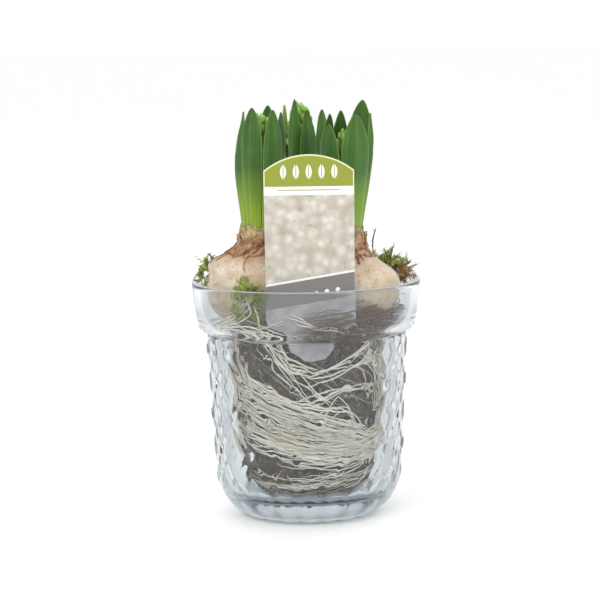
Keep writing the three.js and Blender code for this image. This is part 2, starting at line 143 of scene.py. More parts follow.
# How far a leaf's keel stands out, its middle folds in and its surface wavers, its grooves'
# depth and number, and how far its point hoods in
LEAF_KEEL = 0.3
LEAF_FOLD = 0.9
LEAF_WAVER = 0.35
LEAF_GROOVES = (0.06, 14)
LEAF_HOOD = 1.6
# A plant leans from its neck, at this height over the root ball, to its top, higher by this rise
LEAN_START = 45
LEAN_RISE = 85
# Heads of buds; a bud's outline is height and radius
HEAD_LENGTH = 27
HEAD_RADIUS = 4.8
STALK_SIDES = 16
BUD_OUTLINE = [(-0.6, 0.5), (0.4, 1.35), (1.8, 1.85), (3.4, 1.8), (4.8, 1.3), (5.8, 0.7), (6.3, 0.2)]
BUD_SIDES = 12

# A leaf: angle, ring, half its spread, how far its top leans out, and its twist
PLANTS = [
    {
        "name": "left", "neck": (-25.8, -12), "top": (-23.4, -13), "shoulder": 1.06, "swell": 9, "seed": 11,
        "leaves": [
            (-113, "outer", 29, 0.6, 0), (-49, "outer", 33, -1, 0), (25, "outer", 28, 1, 0),
            (60, "inner", 44, 0.3, 0), (184, "outer", 30, -1.7, 12),
        ],
    },
    {
        "name": "right", "neck": (22.2, -12), "top": (24.5, -12), "shoulder": 0.82, "swell": 2.5, "seed": 23,
        "leaves": [
            (-63, "outer", 40, -0.5, 0), (-137, "outer", 32, 2.4, 0), (1, "outer", 22, 1.8, -16),
            (62, "outer", 37, 1.8, 0), (118, "inner", 42, -1, 0), (158, "outer", 27, -1.4, -26),
        ],
    },
    {
        "name": "back", "neck": (-1.5, 32), "top": (-1.5, 30), "shoulder": 1, "swell": 0, "seed": 37,
        "leaves": [
            (-68, "outer", 24, -1.3, 0), (-117, "inner", 27, -0.5, 0), (-12, "outer", 28, 1.2, -26),
            (160, "inner", 31, 2.2, 0), (84, "inner", 42, 0, 0),
        ],
    },
]
# Two leaves turn as they rise, to pass their neighbours
LEAF_TURNS = {"leaf_right_3": -6, "leaf_right_4": -16}
# A young leaf is paler
YOUNG_LEAF = "leaf_back_4"

# Strands of root: how many, from and to (degrees right of the label, height), sag, scatter, lift, radius
SWEEPS = {
    "left": [
        (17, (-64, 80), (76, 43), 3, (5, 7), (0.8, 4), (0.24, 0.5)),
        (25, (-62, 64), (68, 46), 6, (6, 9), (0.6, 4), (0.22, 0.48)),
        (20, (-60, 52), (62, 42), 4, (8, 8), (0.5, 3.4), (0.2, 0.44)),
        (16, (-50, 78), (58, 42), 8, (9, 12), (2, 4.4), (0.12, 0.22)),
        (6, (-52, 82), (24, 64), 3, (5, 3), (0.6, 2.4), (0.34, 0.56)),
        (6, (-34, 104), (2, 86), 4, (4, 2), (0.4, 1.6), (0.36, 0.6)),
        (5, (-26, 101), (8, 68), 2, (6, 3), (0.4, 1.6), (0.24, 0.4)),
        (6, (-64, 101), (-46, 74), 1, (4, 5), (0.4, 1.6), (0.24, 0.44)),
        (8, (-80, 98), (-62, 66), 2, (6, 6), (0.4, 2.6), (0.3, 0.5)),
        (24, (-150, 92), (-72, 44), 8, (14, 16), (0.5, 3.5), (0.3, 0.52)),
        (20, (-42, 25), (30, 25), 4, (18, 5), (0.3, 2), (0.12, 0.26)),
        (26, (-30, 84), (30, 60), 3, (30, 30), (0.1, 0.6), (0.07, 0.13)),
        (9, (-66, 110), (-22, 113), 4, (7, 3), (3.5, 6.5), (0.26, 0.44)),
        (8, (-32, 128), (-60, 113), 3, (4, 2), (10, 13), (0.26, 0.4)),
        (9, (-60, 113), (-16, 105), -1, (4, 4), (5, 11), (0.24, 0.4)),
    ],
    "right": [
        (20, (-26, 45), (78, 48), 7, (7, 9), (0.6, 4), (0.22, 0.48)),
        (10, (20, 25), (74, 34), 4, (18, 6), (0.3, 2.4), (0.12, 0.28)),
        (16, (60, 96), (80, 40), 1, (8, 8), (1, 5), (0.2, 0.44)),
        (7, (58, 102), (-3, 84), 3, (4, 3), (0.4, 2), (0.36, 0.62)),
        (12, (44, 96), (70, 74), -2, (7, 6), (0.4, 3), (0.26, 0.5)),
        (4, (-4, 67), (56, 74), -5, (3, 2), (0.6, 2.4), (0.36, 0.56)),
        (6, (6, 54), (44, 48), -13, (4, 3), (0.5, 2), (0.34, 0.56)),
        (9, (70, 102), (82, 60), 1, (6, 5), (0.5, 3), (0.3, 0.5)),
        (26, (84, 86), (152, 44), 7, (12, 16), (0.5, 3.5), (0.3, 0.52)),
        (3, (-10, 119), (24, 110), 1, (3, 1.5), (5, 7), (0.32, 0.46)),
        (8, (30, 112), (70, 110), 3, (8, 3), (3, 6), (0.26, 0.44)),
    ],
    "back": [
        (40, (140, 72), (235, 46), 9, (16, 18), (0.5, 4), (0.3, 0.54)),
        (26, (215, 88), (130, 58), 6, (14, 14), (0.5, 3), (0.3, 0.54)),
        (16, (150, 28), (220, 28), 3, (24, 6), (0.3, 2), (0.16, 0.34)),
        (10, (150, 110), (210, 111), 3, (20, 3), (3, 6), (0.3, 0.5)),
    ],
}
# Old brown roots, in the same way
OLD_SWEEPS = {
    "left": [(12, (-76, 109), (-26, 110), 1, (8, 4), (1, 8), (0.12, 0.26))],
    "right": [
        (60, (6, 109), (64, 119), -1, (9, 7), (2, 9), (0.12, 0.3)),
        (20, (20, 108), (74, 111), 2, (9, 3), (2, 9), (0.12, 0.3)),
        (30, (42, 112), (84, 120), 0, (9, 7), (6, 12), (0.14, 0.34)),
    ],
    "back": [(20, (140, 110), (220, 112), 1, (14, 3), (1, 8), (0.12, 0.3))],
}
# Tones over 1 mark old roots and the pale sheath
OLD_TONE = SHEATH_TONE = 1.5
# Roots that hang in loops inside the collar
LOOPS = {
    "left": [
        ((-33, -43, 131), (-31.7, -46.5, 126.8), (-29, -48.6, 121.4), (-35, -44.8, 116.4), (-47.6, -31, 111)),
        ((-30, -44, 128), (-27.8, -48.6, 124), (-26, -49.4, 119), (-25.4, -49, 113.5)),
        ((-50, -24, 107), (-46, -32, 111), (-35, -43.5, 111.4), (-27, -46, 108), (-17.5, -47, 104)),
        ((-49, -27, 110.5), (-40, -39.5, 112.8), (-30, -47, 114.2), (-24, -48.6, 111), (-15, -48.6, 107.6)),
    ],
}
WAVER_SEED = 4
STRAND_POINTS = 36
# How far a strand wavers round the root ball in degrees and up in millimetres, and how often
WAVER = (2.2, 2)
WAVER_BENDS = 4.2
CROWN_STRANDS = 22
CROWN_POINTS = 12
LOOP_RADII = (0.3, 0.4)

# Sprigs and fronds of moss: length in sprigs, leaflets, their width in sprigs, and bend
MOSS_COPIES = [(1, 20, 0.42, 0.3), (1.7, 28, 0.44, 0.6)]
# Wads of moss: sprigs and fronds per square metre of the pad, its lift in millimetres,
# and how far its inner end climbs and reaches in along the bulb
WADS = {
    "moss_left": (70000, 38000, 2, 5, 2),
    "moss_right": (190000, 80000, 0, 3.5, 5),
    "moss_front": (120000, 44000, 3, 0, 0),
    "moss_rear_left": (80000, 20000, 0, 0, 0),
    "moss_rear_right": (80000, 26000, 0, 0, 0),
}
# Room that moss keeps to the inside of the glass, and how far it may hang out over the rim
GLASS_GAP = 0.5
MOSS_OVERHANG = 4.5
# Each twig starts at one point and ends at another, drawn towards the one between
TWIGS = [
    ((33.5, -9, 150), (31.4, -11, 158), (34.2, -11, 162)),
    ((38.8, -6, 146), (36.8, -7, 156), (40.2, -8, 163.5)),
    ((47.5, -2, 142), (46.5, -4, 148), (44, -5, 151.5)),
    ((48, -2, 142), (48, -3, 148), (49.8, -4, 152.5)),
    ((54, 1, 136), (58, 0, 140), (64.4, -2, 142)),
    ((52, 0, 137), (55, -1, 140), (60.3, -3, 143.8)),
    ((-50, 2, 142), (-52, 1, 147), (-55.5, 0, 149.8)),
]
TWIG_SEED = 61
TWIG_POINTS = 14
TWIG_RADIUS = 0.38
TWIG_SCALES = 5
SCALE_RADIUS = 0.2
SCALE_REACH = 1.5

# Plant label
LABEL = {
    "width": 49.6, "low_width": 48.6, "thickness": 0.8, "top": 207.5, "shoulder": 198.7, "waist": 118,
    "stake_top": 106, "tip": 93.5, "stake_width": 26, "x": 2.3, "y": -45.25, "tilt": 0.15, "lean": 1.2,
    "bevel": 0.2,
}
BAND_BOTTOM = 190
STRIP_BOTTOM = 185.3
GREY_TOP = 139
GREY_SLOPE = -0.16
# The print, as heights and widths: a white line over the grey, the drop to a paler foot under it that is
# painted reflection of the collar glass, a row of dots in the grey, a thin line in the strip, and a row of
# leaves in the band
WHITE_LINE = 1.2
PAINTED_REFLECTION_DROP = 13
DOT_DROP = 8
DOT_STEP = 6.0
DOT_RADIUS = 1.2
DOT_SPAN = (3, 19)
STRIP_LINE = (2.4, 3)
PRINT_REACH = 17
PRINTED_LEAF_RISE = 8
PRINTED_LEAF_STEP = 7.0
PRINTED_LEAF_HALF = 1.7
MIDRIB_HALF = 0.22
BORDER = 0.8

# Camera: the photograph's view, worked out from the pot's rim and foot
PHOTO_SIZE = 600
CAMERA = {
    "distance": 1300, "elevation": 7.5, "target": 115, "focal": 2284, "middle": (306.4, 312.2), "roll": 1,
}
SENSOR = 36
FLOOR_REACH = 16000
# Soft lamps: place and size in metres, share of the key light's power, and colour
LAMPS = {
    "key": ((-0.9, -1.0, 1.35), (0.9, 0.9), 1, (1, 0.985, 0.96)),
    "fill": ((1.1, -0.9, 0.8), (0.8, 0.8), 0.4, (0.97, 0.985, 1)),
    "rim": ((0.3, 1.2, 1.1), (1.2, 0.6), 0.5, (1, 1, 1)),
}
LAMP_TARGET = (0, 0, 0.12)


def tint(red, green, blue):
    """A colour of 0 to 255 sRGB values as a linear colour"""
    shares = [value / 255 for value in (red, green, blue)]
    return tuple(s / 12.92 if s <= 0.04045 else ((s + 0.055) / 1.055) ** 2.4 for s in shares)


def opaque(colour):
    """A linear colour with full alpha, as a node socket takes it"""
    return (*tuple(colour)[:3], 1)


def hue(name, description, *values):
    """A colour that a user may change, from sRGB values of 0 to 255"""
    default = tint(*values)
    return FloatVectorProperty(name=name, description=description, subtype="COLOR", size=3, default=default)


def measure(name, description, default):
    """A length that a user may change, in metres"""
    return FloatProperty(name=name, description=description, default=default, unit="LENGTH")


class GlassSettings(bpy.types.PropertyGroup):
    """Glass pot"""
    relief: measure("Relief", "Height of the pressed pattern over the lowest glass", 0.0012)
    colour: hue("Colour", "Tint of the glass", 235, 238, 240)
    # Painted shade laid on walls seen edge on
    edge_shade_colour: hue("Edge colour", "Tint of walls seen edge on", 184, 189, 192)
    depth_colour: hue("Depth colour", "Tint that thick glass takes", 214, 222, 226)
    density: FloatProperty(name="Density", description="How fast thick glass takes its tint", default=15)
    index: FloatProperty(name="Refraction", description="Refractive index of the glass", default=1.26)


class GroundSettings(bpy.types.PropertyGroup):
    """Root ball and roots"""
    soil: hue("Soil", "Colour of the damp peat", 74, 66, 57)
    crumb: measure("Crumb", "Largest crumb of peat", 0.0013)
    root: hue("Root", "Colour of the roots", 249, 246, 234)
    root_shade: hue("Root shade", "Colour of older roots", 222, 211, 188)


class BulbSettings(bpy.types.PropertyGroup):
    """Bulbs and their skins"""
    flesh: hue("Scale", "Colour of the smooth bulb scale", 204, 190, 168)
    vein: hue("Vein", "Colour of the fine veins", 170, 126, 86)
    skin: hue("Skin", "Colour of the dry skin", 176, 122, 84)
    skin_thickness: measure("Skin thickness", "Thickness of the papery skin", 0.0002)


class LeafSettings(bpy.types.PropertyGroup):
    """Leaves and buds"""
    thickness: measure("Thickness", "Thickness of a leaf at its middle", 0.002)
    green: hue("Green", "Colour of the upper leaf", 50, 92, 32)
    young: hue("Young green", "Colour of the lower leaf", 166, 194, 48)
    buds: IntProperty(name="Buds", description="Buds on each flower head", default=34)
    bud: hue("Bud", "Colour of the buds", 146, 200, 84)


class MossSettings(bpy.types.PropertyGroup):
    """Moss and twigs"""
    green: hue("Green", "Colour of live moss", 140, 166, 62)
    dead: hue("Dead", "Colour of dead moss", 160, 120, 82)
    sprig: measure("Sprig", "Length of a sprig", 0.0055)


class LabelSettings(bpy.types.PropertyGroup):
    """Plant label"""
    band: hue("Band", "Colour of the top band", 144, 152, 43)
    field: hue("Field", "Colour of the pale field", 180, 173, 159)
    foot: hue("Foot", "Colour of the lower field", 124, 120, 117)


class StageSettings(bpy.types.PropertyGroup):
    """Floor, lights and camera"""
    floor: hue("Floor", "Colour of the floor", 255, 255, 255)
    sky: FloatProperty(name="Sky", description="Strength of the light from all round", default=1.09)
    key: FloatProperty(name="Key", description="Power of the large soft light", default=9, unit="POWER")


SETTINGS = {
    "hyacinth_glass": GlassSettings, "hyacinth_ground": GroundSettings, "hyacinth_bulb": BulbSettings,
    "hyacinth_leaf": LeafSettings, "hyacinth_moss": MossSettings, "hyacinth_label": LabelSettings,
    "hyacinth_stage": StageSettings,
}


def mix(low, high, share):
    """The number or point at a share of the way from low to high"""
    return low + (high - low) * share


def smooth(value, low, high):
    """0 below low, 1 above high, and an even curve between"""
    share = np.clip((value - low) / (high - low), 0, 1)
    return share * share * (3 - 2 * share)


def around(radius, angle, height, centre=(0, 0)):
    """A point at a radius and an angle round a centre"""
    return (centre[0] + radius * math.cos(angle), centre[1] + radius * math.sin(angle), height)


def turns(count):
    """Angles at even steps round a turn"""
    return [i / count * TURN for i in range(count)]


def softened(values, rounds):
    """A row of numbers or points with its bends evened out and its ends kept"""
    for _ in range(rounds):
        values[1:-1] = (values[:-2] + 2 * values[1:-1] + values[2:]) / 4
    return values


def bent(start, pull, end, steps):
    """Points of a curve from start to end that is drawn towards pull"""
    a, b, c = (np.array(point, float) for point in (start, pull, end))
    return [tuple((1 - t) ** 2 * a + 2 * t * (1 - t) * b + t * t * c) for t in steps]


def unevenness(seed, x, y=0, z=0):
    """Smooth noise from -1 to 1, the same each run"""
    return noise.noise(seed + Vector((x, y, z)))


def node_box(node):
    """Lowest and highest corner of a packed node, in millimetres"""
    return tuple(np.array(corner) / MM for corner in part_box(node))


def ring_faces(rows, columns):
    """Quads between closed rings of points, each counter-clockwise about the way on to the next"""
    faces = []
    for row in range(rows - 1):
        start = row * columns
        for i in range(columns):
            j = (i + 1) % columns
            faces.append((start + i, start + j, start + columns + j, start + columns + i))
    return faces


def closed_skin(rings):
    """Points and faces of a closed body through rings of points, with a hub in each end"""
    rows, columns = len(rings), len(rings[0])
    points = [point for ring in rings for point in ring]
    faces = ring_faces(rows, columns)
    for row, turned in ((0, True), (rows - 1, False)):
        hub = len(points)
        points.append(tuple(np.mean(rings[row], axis=0)))
        for i in range(columns):
            a, b = row * columns + i, row * columns + (i + 1) % columns
            faces.append((hub, b, a) if turned else (hub, a, b))
    return points, faces


def link(thing):
    """Puts an object in the scene"""
    bpy.context.scene.collection.objects.link(thing)
    return thing


def add_mesh(name, points, faces, material=None, edges=()):
    """A smooth mesh object, from points in millimetres"""
    mesh = bpy.data.meshes.new(name)
    mesh.from_pydata((np.array(points, float) * MM).tolist(), list(edges), faces)
    if material:
        mesh.materials.append(material)
    mesh.shade_smooth()
    return link(bpy.data.objects.new(name, mesh))


def store(piece, name, values):
    """Keeps a number or a vector for each point of a piece"""
    values = np.array(values, float)
    kind = "FLOAT" if values.ndim == 1 else "FLOAT_VECTOR"
    attribute = piece.data.attributes.new(name, kind, "POINT")
    attribute.data.foreach_set("value" if kind == "FLOAT" else "vector", values.ravel())


def add_modifier_tree(piece, tree, values):
    """A Geometry Nodes modifier whose inputs are set by the sockets' identifiers"""
    modifier = piece.modifiers.new(tree.name, "NODES")
    modifier.node_group = tree
    for item in tree.interface.items_tree:
        if item.in_out == "INPUT" and item.name in values:
            modifier[item.identifier] = values[item.name]


def apply_all(piece):
    """The piece with its modifiers made into plain mesh"""
    bpy.context.view_layer.update()
    evaluated = piece.evaluated_get(bpy.context.evaluated_depsgraph_get())
    mesh = bpy.data.meshes.new_from_object(evaluated)
    piece.modifiers.clear()
    piece.data = mesh
    return piece


def remove(piece):
    """Takes a helper out of the scene"""
    bpy.data.objects.remove(piece, do_unlink=True)


def join_meshes(name, pieces):
    """One piece of several, which are used up"""
    with bpy.context.temp_override(active_object=pieces[0], selected_editable_objects=pieces):
        bpy.ops.object.join()
    pieces[0].name = name
    return pieces[0]


def finish_piece(piece, slot, *nodes):
    """The piece rides on the root body and stands for its nodes; its slot is not used"""
    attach(piece, "root")
    if nodes:
        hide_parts(*nodes)
    return piece


class Wiring:
    """Adds nodes to a tree and joins them up"""

    def __init__(self, tree):
        self.tree = tree

    def add(self, kind, inputs=None, **settings):
        """A new node with its settings and what goes into its inputs"""
        node = self.tree.nodes.new(kind)
        for name, value in settings.items():
            setattr(node, name, value)
        for key, value in (inputs or {}).items():
            self.feed(node.inputs[key], value)
        return node

    def feed(self, socket, value):
        """Links a node or an output to a socket, or sets the socket to a plain value"""
        if isinstance(value, bpy.types.Node):
            value = value.outputs[0]
        if isinstance(value, bpy.types.NodeSocket):
            self.tree.links.new(value, socket)
        else:
            socket.default_value = value

    def math(self, operation, first, second=0.0, clamp=False):
        inputs = {0: first, 1: second}
        return self.add("ShaderNodeMath", inputs, operation=operation, use_clamp=clamp).outputs[0]

    def plus(self, first, second, clamp=False):
        return self.math("ADD", first, second, clamp)

    def minus(self, first, second):
        return self.math("SUBTRACT", first, second)

    def times(self, first, *others, clamp=False):
        for other in others:
            first = self.math("MULTIPLY", first, other, clamp)
        return first

    def most(self, first, second):
        return self.math("MAXIMUM", first, second)

    def blend(self, share, first, second):
        """The first colour, or the second one where the share is 1"""
        return self.add("ShaderNodeMix", {0: share, 6: first, 7: second}, data_type="RGBA").outputs[2]

    def stretch(self, value, low, high, start=0.0, end=1.0):
        """A value's range from low to high, made a range from start to end"""
        inputs = {0: value, 1: low, 2: high, 3: start, 4: end}
        return self.add("ShaderNodeMapRange", inputs, clamp=True).outputs[0]

    def parts(self, vector):
        """The three numbers of a vector"""
        return self.add("ShaderNodeSeparateXYZ", {0: vector}).outputs

    def vector(self, x, y, z):
        return self.add("ShaderNodeCombineXYZ", {0: x, 1: y, 2: z}).outputs[0]

    def vector_math(self, operation, first, second):
        key = "Scale" if operation == "SCALE" else 1
        return self.add("ShaderNodeVectorMath", {0: first, key: second}, operation=operation).outputs[0]

    def chance(self, low, high, seed):
        """A random number for each copy"""
        inputs = {2: low, 3: high, "Seed": seed}
        return self.add("FunctionNodeRandomValue", inputs, data_type="FLOAT").outputs[1]


def node_group(name, kind, inputs, output, build):
    """A node group with named sockets and one output, built at its first use and found again after it"""
    if name in bpy.data.node_groups:
        return bpy.data.node_groups[name]
    tree = bpy.data.node_groups.new(name, kind)
    for label, socket, default in inputs:
        made = tree.interface.new_socket(label, in_out="INPUT", socket_type="NodeSocket" + socket)
        if default is not None:
            made.default_value = default
    tree.interface.new_socket(output[0], in_out="OUTPUT", socket_type="NodeSocket" + output[1])
    wiring = Wiring(tree)
    given = wiring.add("NodeGroupInput").outputs
    result = wiring.add("NodeGroupOutput")
    wiring.feed(result.inputs[0], build(wiring, given))
    return tree


def mottle_group():
    """Soft cloudy patches"""
    def build(wiring, given):
        cloud = wiring.add("ShaderNodeTexNoise", {key: given[key] for key in ("Vector", "Scale", "Detail")})
        return wiring.stretch(cloud.outputs[0], given["Low"], given["High"])

    return node_group("Mottle", "ShaderNodeTree", [
        ("Vector", "Vector", None), ("Scale", "Float", 100.0), ("Detail", "Float", 4.0),
        ("Low", "Float", 0.4), ("High", "Float", 0.6),
    ], ("Mask", "Float"), build)


def streak_group():
    """Lines that run along a piece, fine across it and long along it"""
    def build(wiring, given):
        size = wiring.vector(given["Lines"], given["Lines"], given["Length"])
        scaled = wiring.vector_math("MULTIPLY", given["Flow"], size)
        cloud = wiring.add("ShaderNodeTexNoise", {"Vector": scaled, "Scale": 1.0, "Detail": 3.0})
        return wiring.stretch(cloud.outputs[0], given["Low"], given["High"])

    return node_group("Streaks", "ShaderNodeTree", [
        ("Flow", "Vector", None), ("Lines", "Float", 20.0), ("Length", "Float", 1.0),
        ("Low", "Float", 0.35), ("High", "Float", 0.65),
    ], ("Mask", "Float"), build)


class Finish(Wiring):
    """A new material with its shader, object coordinates and stored attributes at hand"""

    def __init__(self, name, colour=None, **sockets):
        self.material = bpy.data.materials.new(name)
        self.material.use_nodes = True
        super().__init__(self.material.node_tree)
        self.shader = self.tree.nodes["Principled BSDF"]
        for key, value in sockets.items():
            self.shader.inputs[key.replace("_", " ")].default_value = value
        self.place = self.add("ShaderNodeTexCoord").outputs["Object"]
        self.colour = None if colour is None else opaque(colour)

    def attribute(self, name, output="Fac"):
        return self.add("ShaderNodeAttribute", attribute_name=name).outputs[output]

    def flow(self):
        """The stored flow as a vector and its three parts"""
        vector = self.attribute("flow", "Vector")
        return vector, *self.parts(vector)

    def grouped(self, tree, **inputs):
        """A shared node group, placed with its own values"""
        return self.add("ShaderNodeGroup", inputs, node_tree=tree).outputs[0]

    def mottle(self, scale, low=0.3, high=0.7, detail=4.0):
        """Patches, larger at a lower scale, that begin at low and are full at high"""
        return self.grouped(mottle_group(), Vector=self.place, Scale=scale, Detail=detail, Low=low, High=high)

    def streaks(self, flow, lines, length, low=0.35, high=0.65):
        """Lines along the flow, closer with more lines and shorter with more length"""
        return self.grouped(streak_group(), Flow=flow, Lines=lines, Length=length, Low=low, High=high)

    def lay(self, mask, colour, strength=None):
        """Lays a colour over what is there already, where the mask says"""
        if strength is not None:
            mask = self.times(mask, strength)
        if not isinstance(colour, bpy.types.NodeSocket):
            colour = opaque(colour)
        self.colour = self.blend(mask, self.colour, colour)

    def bump(self, height, depth, strength):
        """Relief up to a depth in metres"""
        bump = self.add("ShaderNodeBump", {"Height": height, "Distance": depth, "Strength": strength})
        self.feed(self.shader.inputs["Normal"], bump)

    def surface(self, height, depth, strength, rough=None):
        """Joins the colour, the bump and the roughness to the shader, and gives the material"""
        self.feed(self.shader.inputs["Base Color"], self.colour)
        if rough is not None:
            mask, low, high = rough
            self.feed(self.shader.inputs["Roughness"], self.stretch(mask, 0, 1, low, high))
        self.bump(height, depth, strength)
        return self.material


def glass_material(settings):
    finish = Finish("Pressed glass", settings.colour, Transmission_Weight=0.975, IOR=settings.index,
                    Sheen_Weight=0.2, Sheen_Roughness=0.3)
    # Lamps shine through, as they do by the bright patterns that real glass throws, and so does light
    # that has been thrown about inside the wall
    path = finish.add("ShaderNodeLightPath")
    deep = finish.math("GREATER_THAN", path.outputs["Ray Depth"], 5.5)
    through = finish.most(path.outputs["Is Shadow Ray"], deep)
    finish.feed(finish.shader.inputs["Alpha"], finish.stretch(through, 0, 1, 1, 0))
    # Painted shade: walls seen edge on are painted greyer, except at the rim and the foot
    height = finish.parts(finish.place)[2]
    facing = finish.add("ShaderNodeLayerWeight", {"Blend": 0.5}).outputs["Facing"]
    edge = finish.times(
        finish.stretch(facing, 0.25, 0.7), finish.stretch(height, 0.13, 0.12),
        finish.stretch(height, 0.014, 0.032))
    finish.lay(edge, settings.edge_shade_colour)
    finish.feed(finish.shader.inputs["Base Color"], finish.colour)
    # The foot and the lip are a little rough
    low = finish.stretch(height, 0.003, 0.018, 0.4, 0.03)
    lip = finish.stretch(height, 0.1315, 0.1335, 0.03, 0.3)
    finish.feed(finish.shader.inputs["Roughness"], finish.most(low, lip))
    finish.bump(finish.mottle(45, 0.2, 0.8, 1.0), 0.0006, 0.15)
    depth = finish.add("ShaderNodeVolumeAbsorption", {
        "Color": opaque(settings.depth_colour), "Density": settings.density})
    finish.feed(finish.tree.nodes["Material Output"].inputs["Volume"], depth)
    return finish.material


def foot_material(settings):
    finish = Finish("Ground glass foot", tint(222, 230, 233), Transmission_Weight=0.5, IOR=settings.index)
    finish.lay(finish.mottle(120), tint(206, 217, 221))
    grain = finish.mottle(1600)
    return finish.surface(grain, 0.0001, 0.4, (grain, 0.5, 0.7))


def soil_material(settings):
    soil = np.array(settings.soil)
    finish = Finish("Damp peat", soil * 0.35, Roughness=0.9)
    finish.lay(finish.mottle(300, 0.35, 0.65), soil)
    finish.lay(finish.mottle(80, 0.45, 0.65), tint(92, 74, 56))
    finish.lay(finish.mottle(520, 0.58, 0.66, 2.0), soil * 3.7)
    height = finish.mottle(700, 0.25, 0.75, 6.0)
    return finish.surface(height, 0.0008, 0.9, (height, 0.75, 1))


def root_material(settings):
    finish = Finish("Root", settings.root, Roughness=0.5)
    tone = finish.attribute("tone")
    finish.lay(tone, settings.root_shade)
    finish.lay(finish.stretch(tone, 1.1, 1.4), tint(112, 90, 68))
    finish.lay(finish.mottle(500, 0.55, 0.75), np.array(settings.root_shade) * 0.6, 0.3)
    height = finish.mottle(2500)
    return finish.surface(height, 0.0001, 0.4, (height, 0.42, 0.62))


def bulb_material(settings):
    finish = Finish("Bulb scale", settings.flesh, Roughness=0.5, Coat_Weight=0.08, Coat_Roughness=0.4)
    flow, _, _, along = finish.flow()
    finish.lay(finish.streaks(flow, 18, 4.0, 0.54, 0.68), settings.vein, 0.36)
    finish.lay(finish.streaks(flow, 2.6, 40.0, 0.55, 0.66), settings.vein, 0.5)
    finish.lay(finish.mottle(90, 0.44, 0.58), tint(230, 220, 201), 0.5)
    stains = finish.times(finish.mottle(60, 0.48, 0.62, 8.0), 0.45)
    finish.lay(stains, tint(204, 166, 122))
    specks = finish.times(finish.mottle(420, 0.56, 0.68, 6.0), 0.5)
    finish.lay(specks, tint(158, 118, 82))
    # Dry skin clings below the neck, and the foot is brown
    ragged = finish.plus(0.45, finish.mottle(160))
    finish.lay(finish.times(finish.stretch(along, 0.7, 0.88), ragged, clamp=True), settings.skin)
    broad = finish.plus(0.25, finish.streaks(flow, 2.2, 16.0, 0.42, 0.68))
    finish.lay(finish.times(finish.stretch(along, 0.42, 0.16), broad, clamp=True), tint(150, 112, 80))
    height = finish.plus(finish.times(specks, -1.5), finish.mottle(300))
    return finish.surface(height, 0.0003, 0.6, (stains, 0.42, 0.62))


def skin_material(settings):
    finish = Finish("Papery skin", settings.skin, Roughness=0.55, Sheen_Weight=0.15, Sheen_Roughness=0.4)
    veins = finish.streaks(finish.flow()[0], 9, 1.5, 0.4)
    finish.lay(veins, tint(212, 168, 122))
    finish.lay(finish.mottle(240, 0.5, 0.66), tint(124, 70, 46))
    tone = finish.attribute("tone")
    finish.lay(finish.stretch(tone, 0.55, 1.0, 0.0, 0.8), tint(222, 194, 156))
    sheath = finish.blend(veins, opaque(tint(206, 196, 138)), opaque(tint(188, 152, 108)))
    finish.lay(finish.stretch(tone, 1.1, 1.3), sheath)
    return finish.surface(finish.plus(veins, finish.mottle(420)), 0.0004, 0.8, (veins, 0.5, 0.65))


def leaf_material(settings):
    finish = Finish("Leaf", settings.young, Roughness=0.42, Specular_IOR_Level=0.28)
    flow, across, _, along = finish.flow()
    veins = finish.streaks(flow, 22, 1.5)
    fine = finish.streaks(flow, 70, 3.0)
    cloud = finish.stretch(finish.mottle(38), 0, 1, -0.14, 0.14)
    finish.lay(finish.plus(finish.stretch(along, 0.18, 0.6), cloud, True), settings.green)
    finish.lay(finish.attribute("tone"), tint(86, 134, 50), 0.35)
    finish.lay(veins, finish.blend(0.35, finish.colour, opaque(tint(140, 182, 96))), 0.35)
    darker = finish.blend(0.5, finish.colour, opaque(tint(24, 54, 22)))
    finish.lay(fine, darker, 0.35)
    finish.lay(finish.streaks(flow, 2.6, 0.6, 0.5, 0.62), darker, 0.5)
    finish.lay(finish.attribute("young"), tint(164, 196, 92), 0.85)
    finish.lay(finish.stretch(along, 0.17, 0.04), tint(214, 214, 150), 0.85)
    # The keel and the margins are lighter
    width = finish.math("ABSOLUTE", across)
    finish.lay(finish.stretch(width, 0.055, 0.0), tint(140, 178, 96), 0.2)
    finish.lay(finish.stretch(width, 0.9, 0.97), tint(160, 194, 104), 0.3)
    height = finish.plus(veins, finish.times(fine, 0.4))
    return finish.surface(height, 0.00025, 0.5, (veins, 0.36, 0.5))


def bud_material(settings):
    finish = Finish("Bud", settings.bud, Roughness=0.42, Coat_Weight=0.1, Coat_Roughness=0.35)
    flow, _, _, along = finish.flow()
    veins = finish.streaks(flow, 7, 1.0)
    deep = np.array(settings.bud) * 0.55
    finish.lay(finish.attribute("tone"), deep, 0.8)
    finish.lay(veins, tint(186, 214, 118), 0.5)
    finish.lay(finish.stretch(along, 0.25, 0.0), deep)
    return finish.surface(finish.plus(veins, finish.mottle(1500)), 0.00015, 0.5, (veins, 0.36, 0.5))


def moss_material(settings):
    finish = Finish("Moss", np.array(settings.green) * 0.4, Roughness=0.75)
    tone = finish.attribute("tone")
    finish.lay(finish.stretch(tone, 0.0, 0.5), settings.green)
    finish.lay(finish.stretch(tone, 0.6, 1.0), tint(178, 188, 92))
    # Dead patches all over, and dead moss low down at the right of the rim
    x, _, z = finish.parts(finish.place)
    rim = finish.times(
        finish.stretch(x, 0.047, 0.053), finish.mottle(90, 0.36, 0.46), finish.stretch(z, 0.1445, 0.1385))
    finish.lay(finish.most(rim, finish.times(finish.mottle(130, 0.56, 0.64), 0.45)), settings.dead)
    height = finish.mottle(2600)
    return finish.surface(height, 0.0001, 0.5, (height, 0.65, 0.85))


def twig_material(settings):
    dead = np.array(settings.dead)
    finish = Finish("Twig", dead * 0.15, Roughness=0.7)
    finish.lay(finish.mottle(800, 0.4, 0.65), dead * 0.45)
    return finish.surface(finish.mottle(1800), 0.0001, 0.5)


def label_arch():
    """Radius of the arch at the label's top"""
    half, rise = LABEL["width"] / 2, LABEL["top"] - LABEL["shoulder"]
    return (half * half + rise * rise) / (2 * rise)


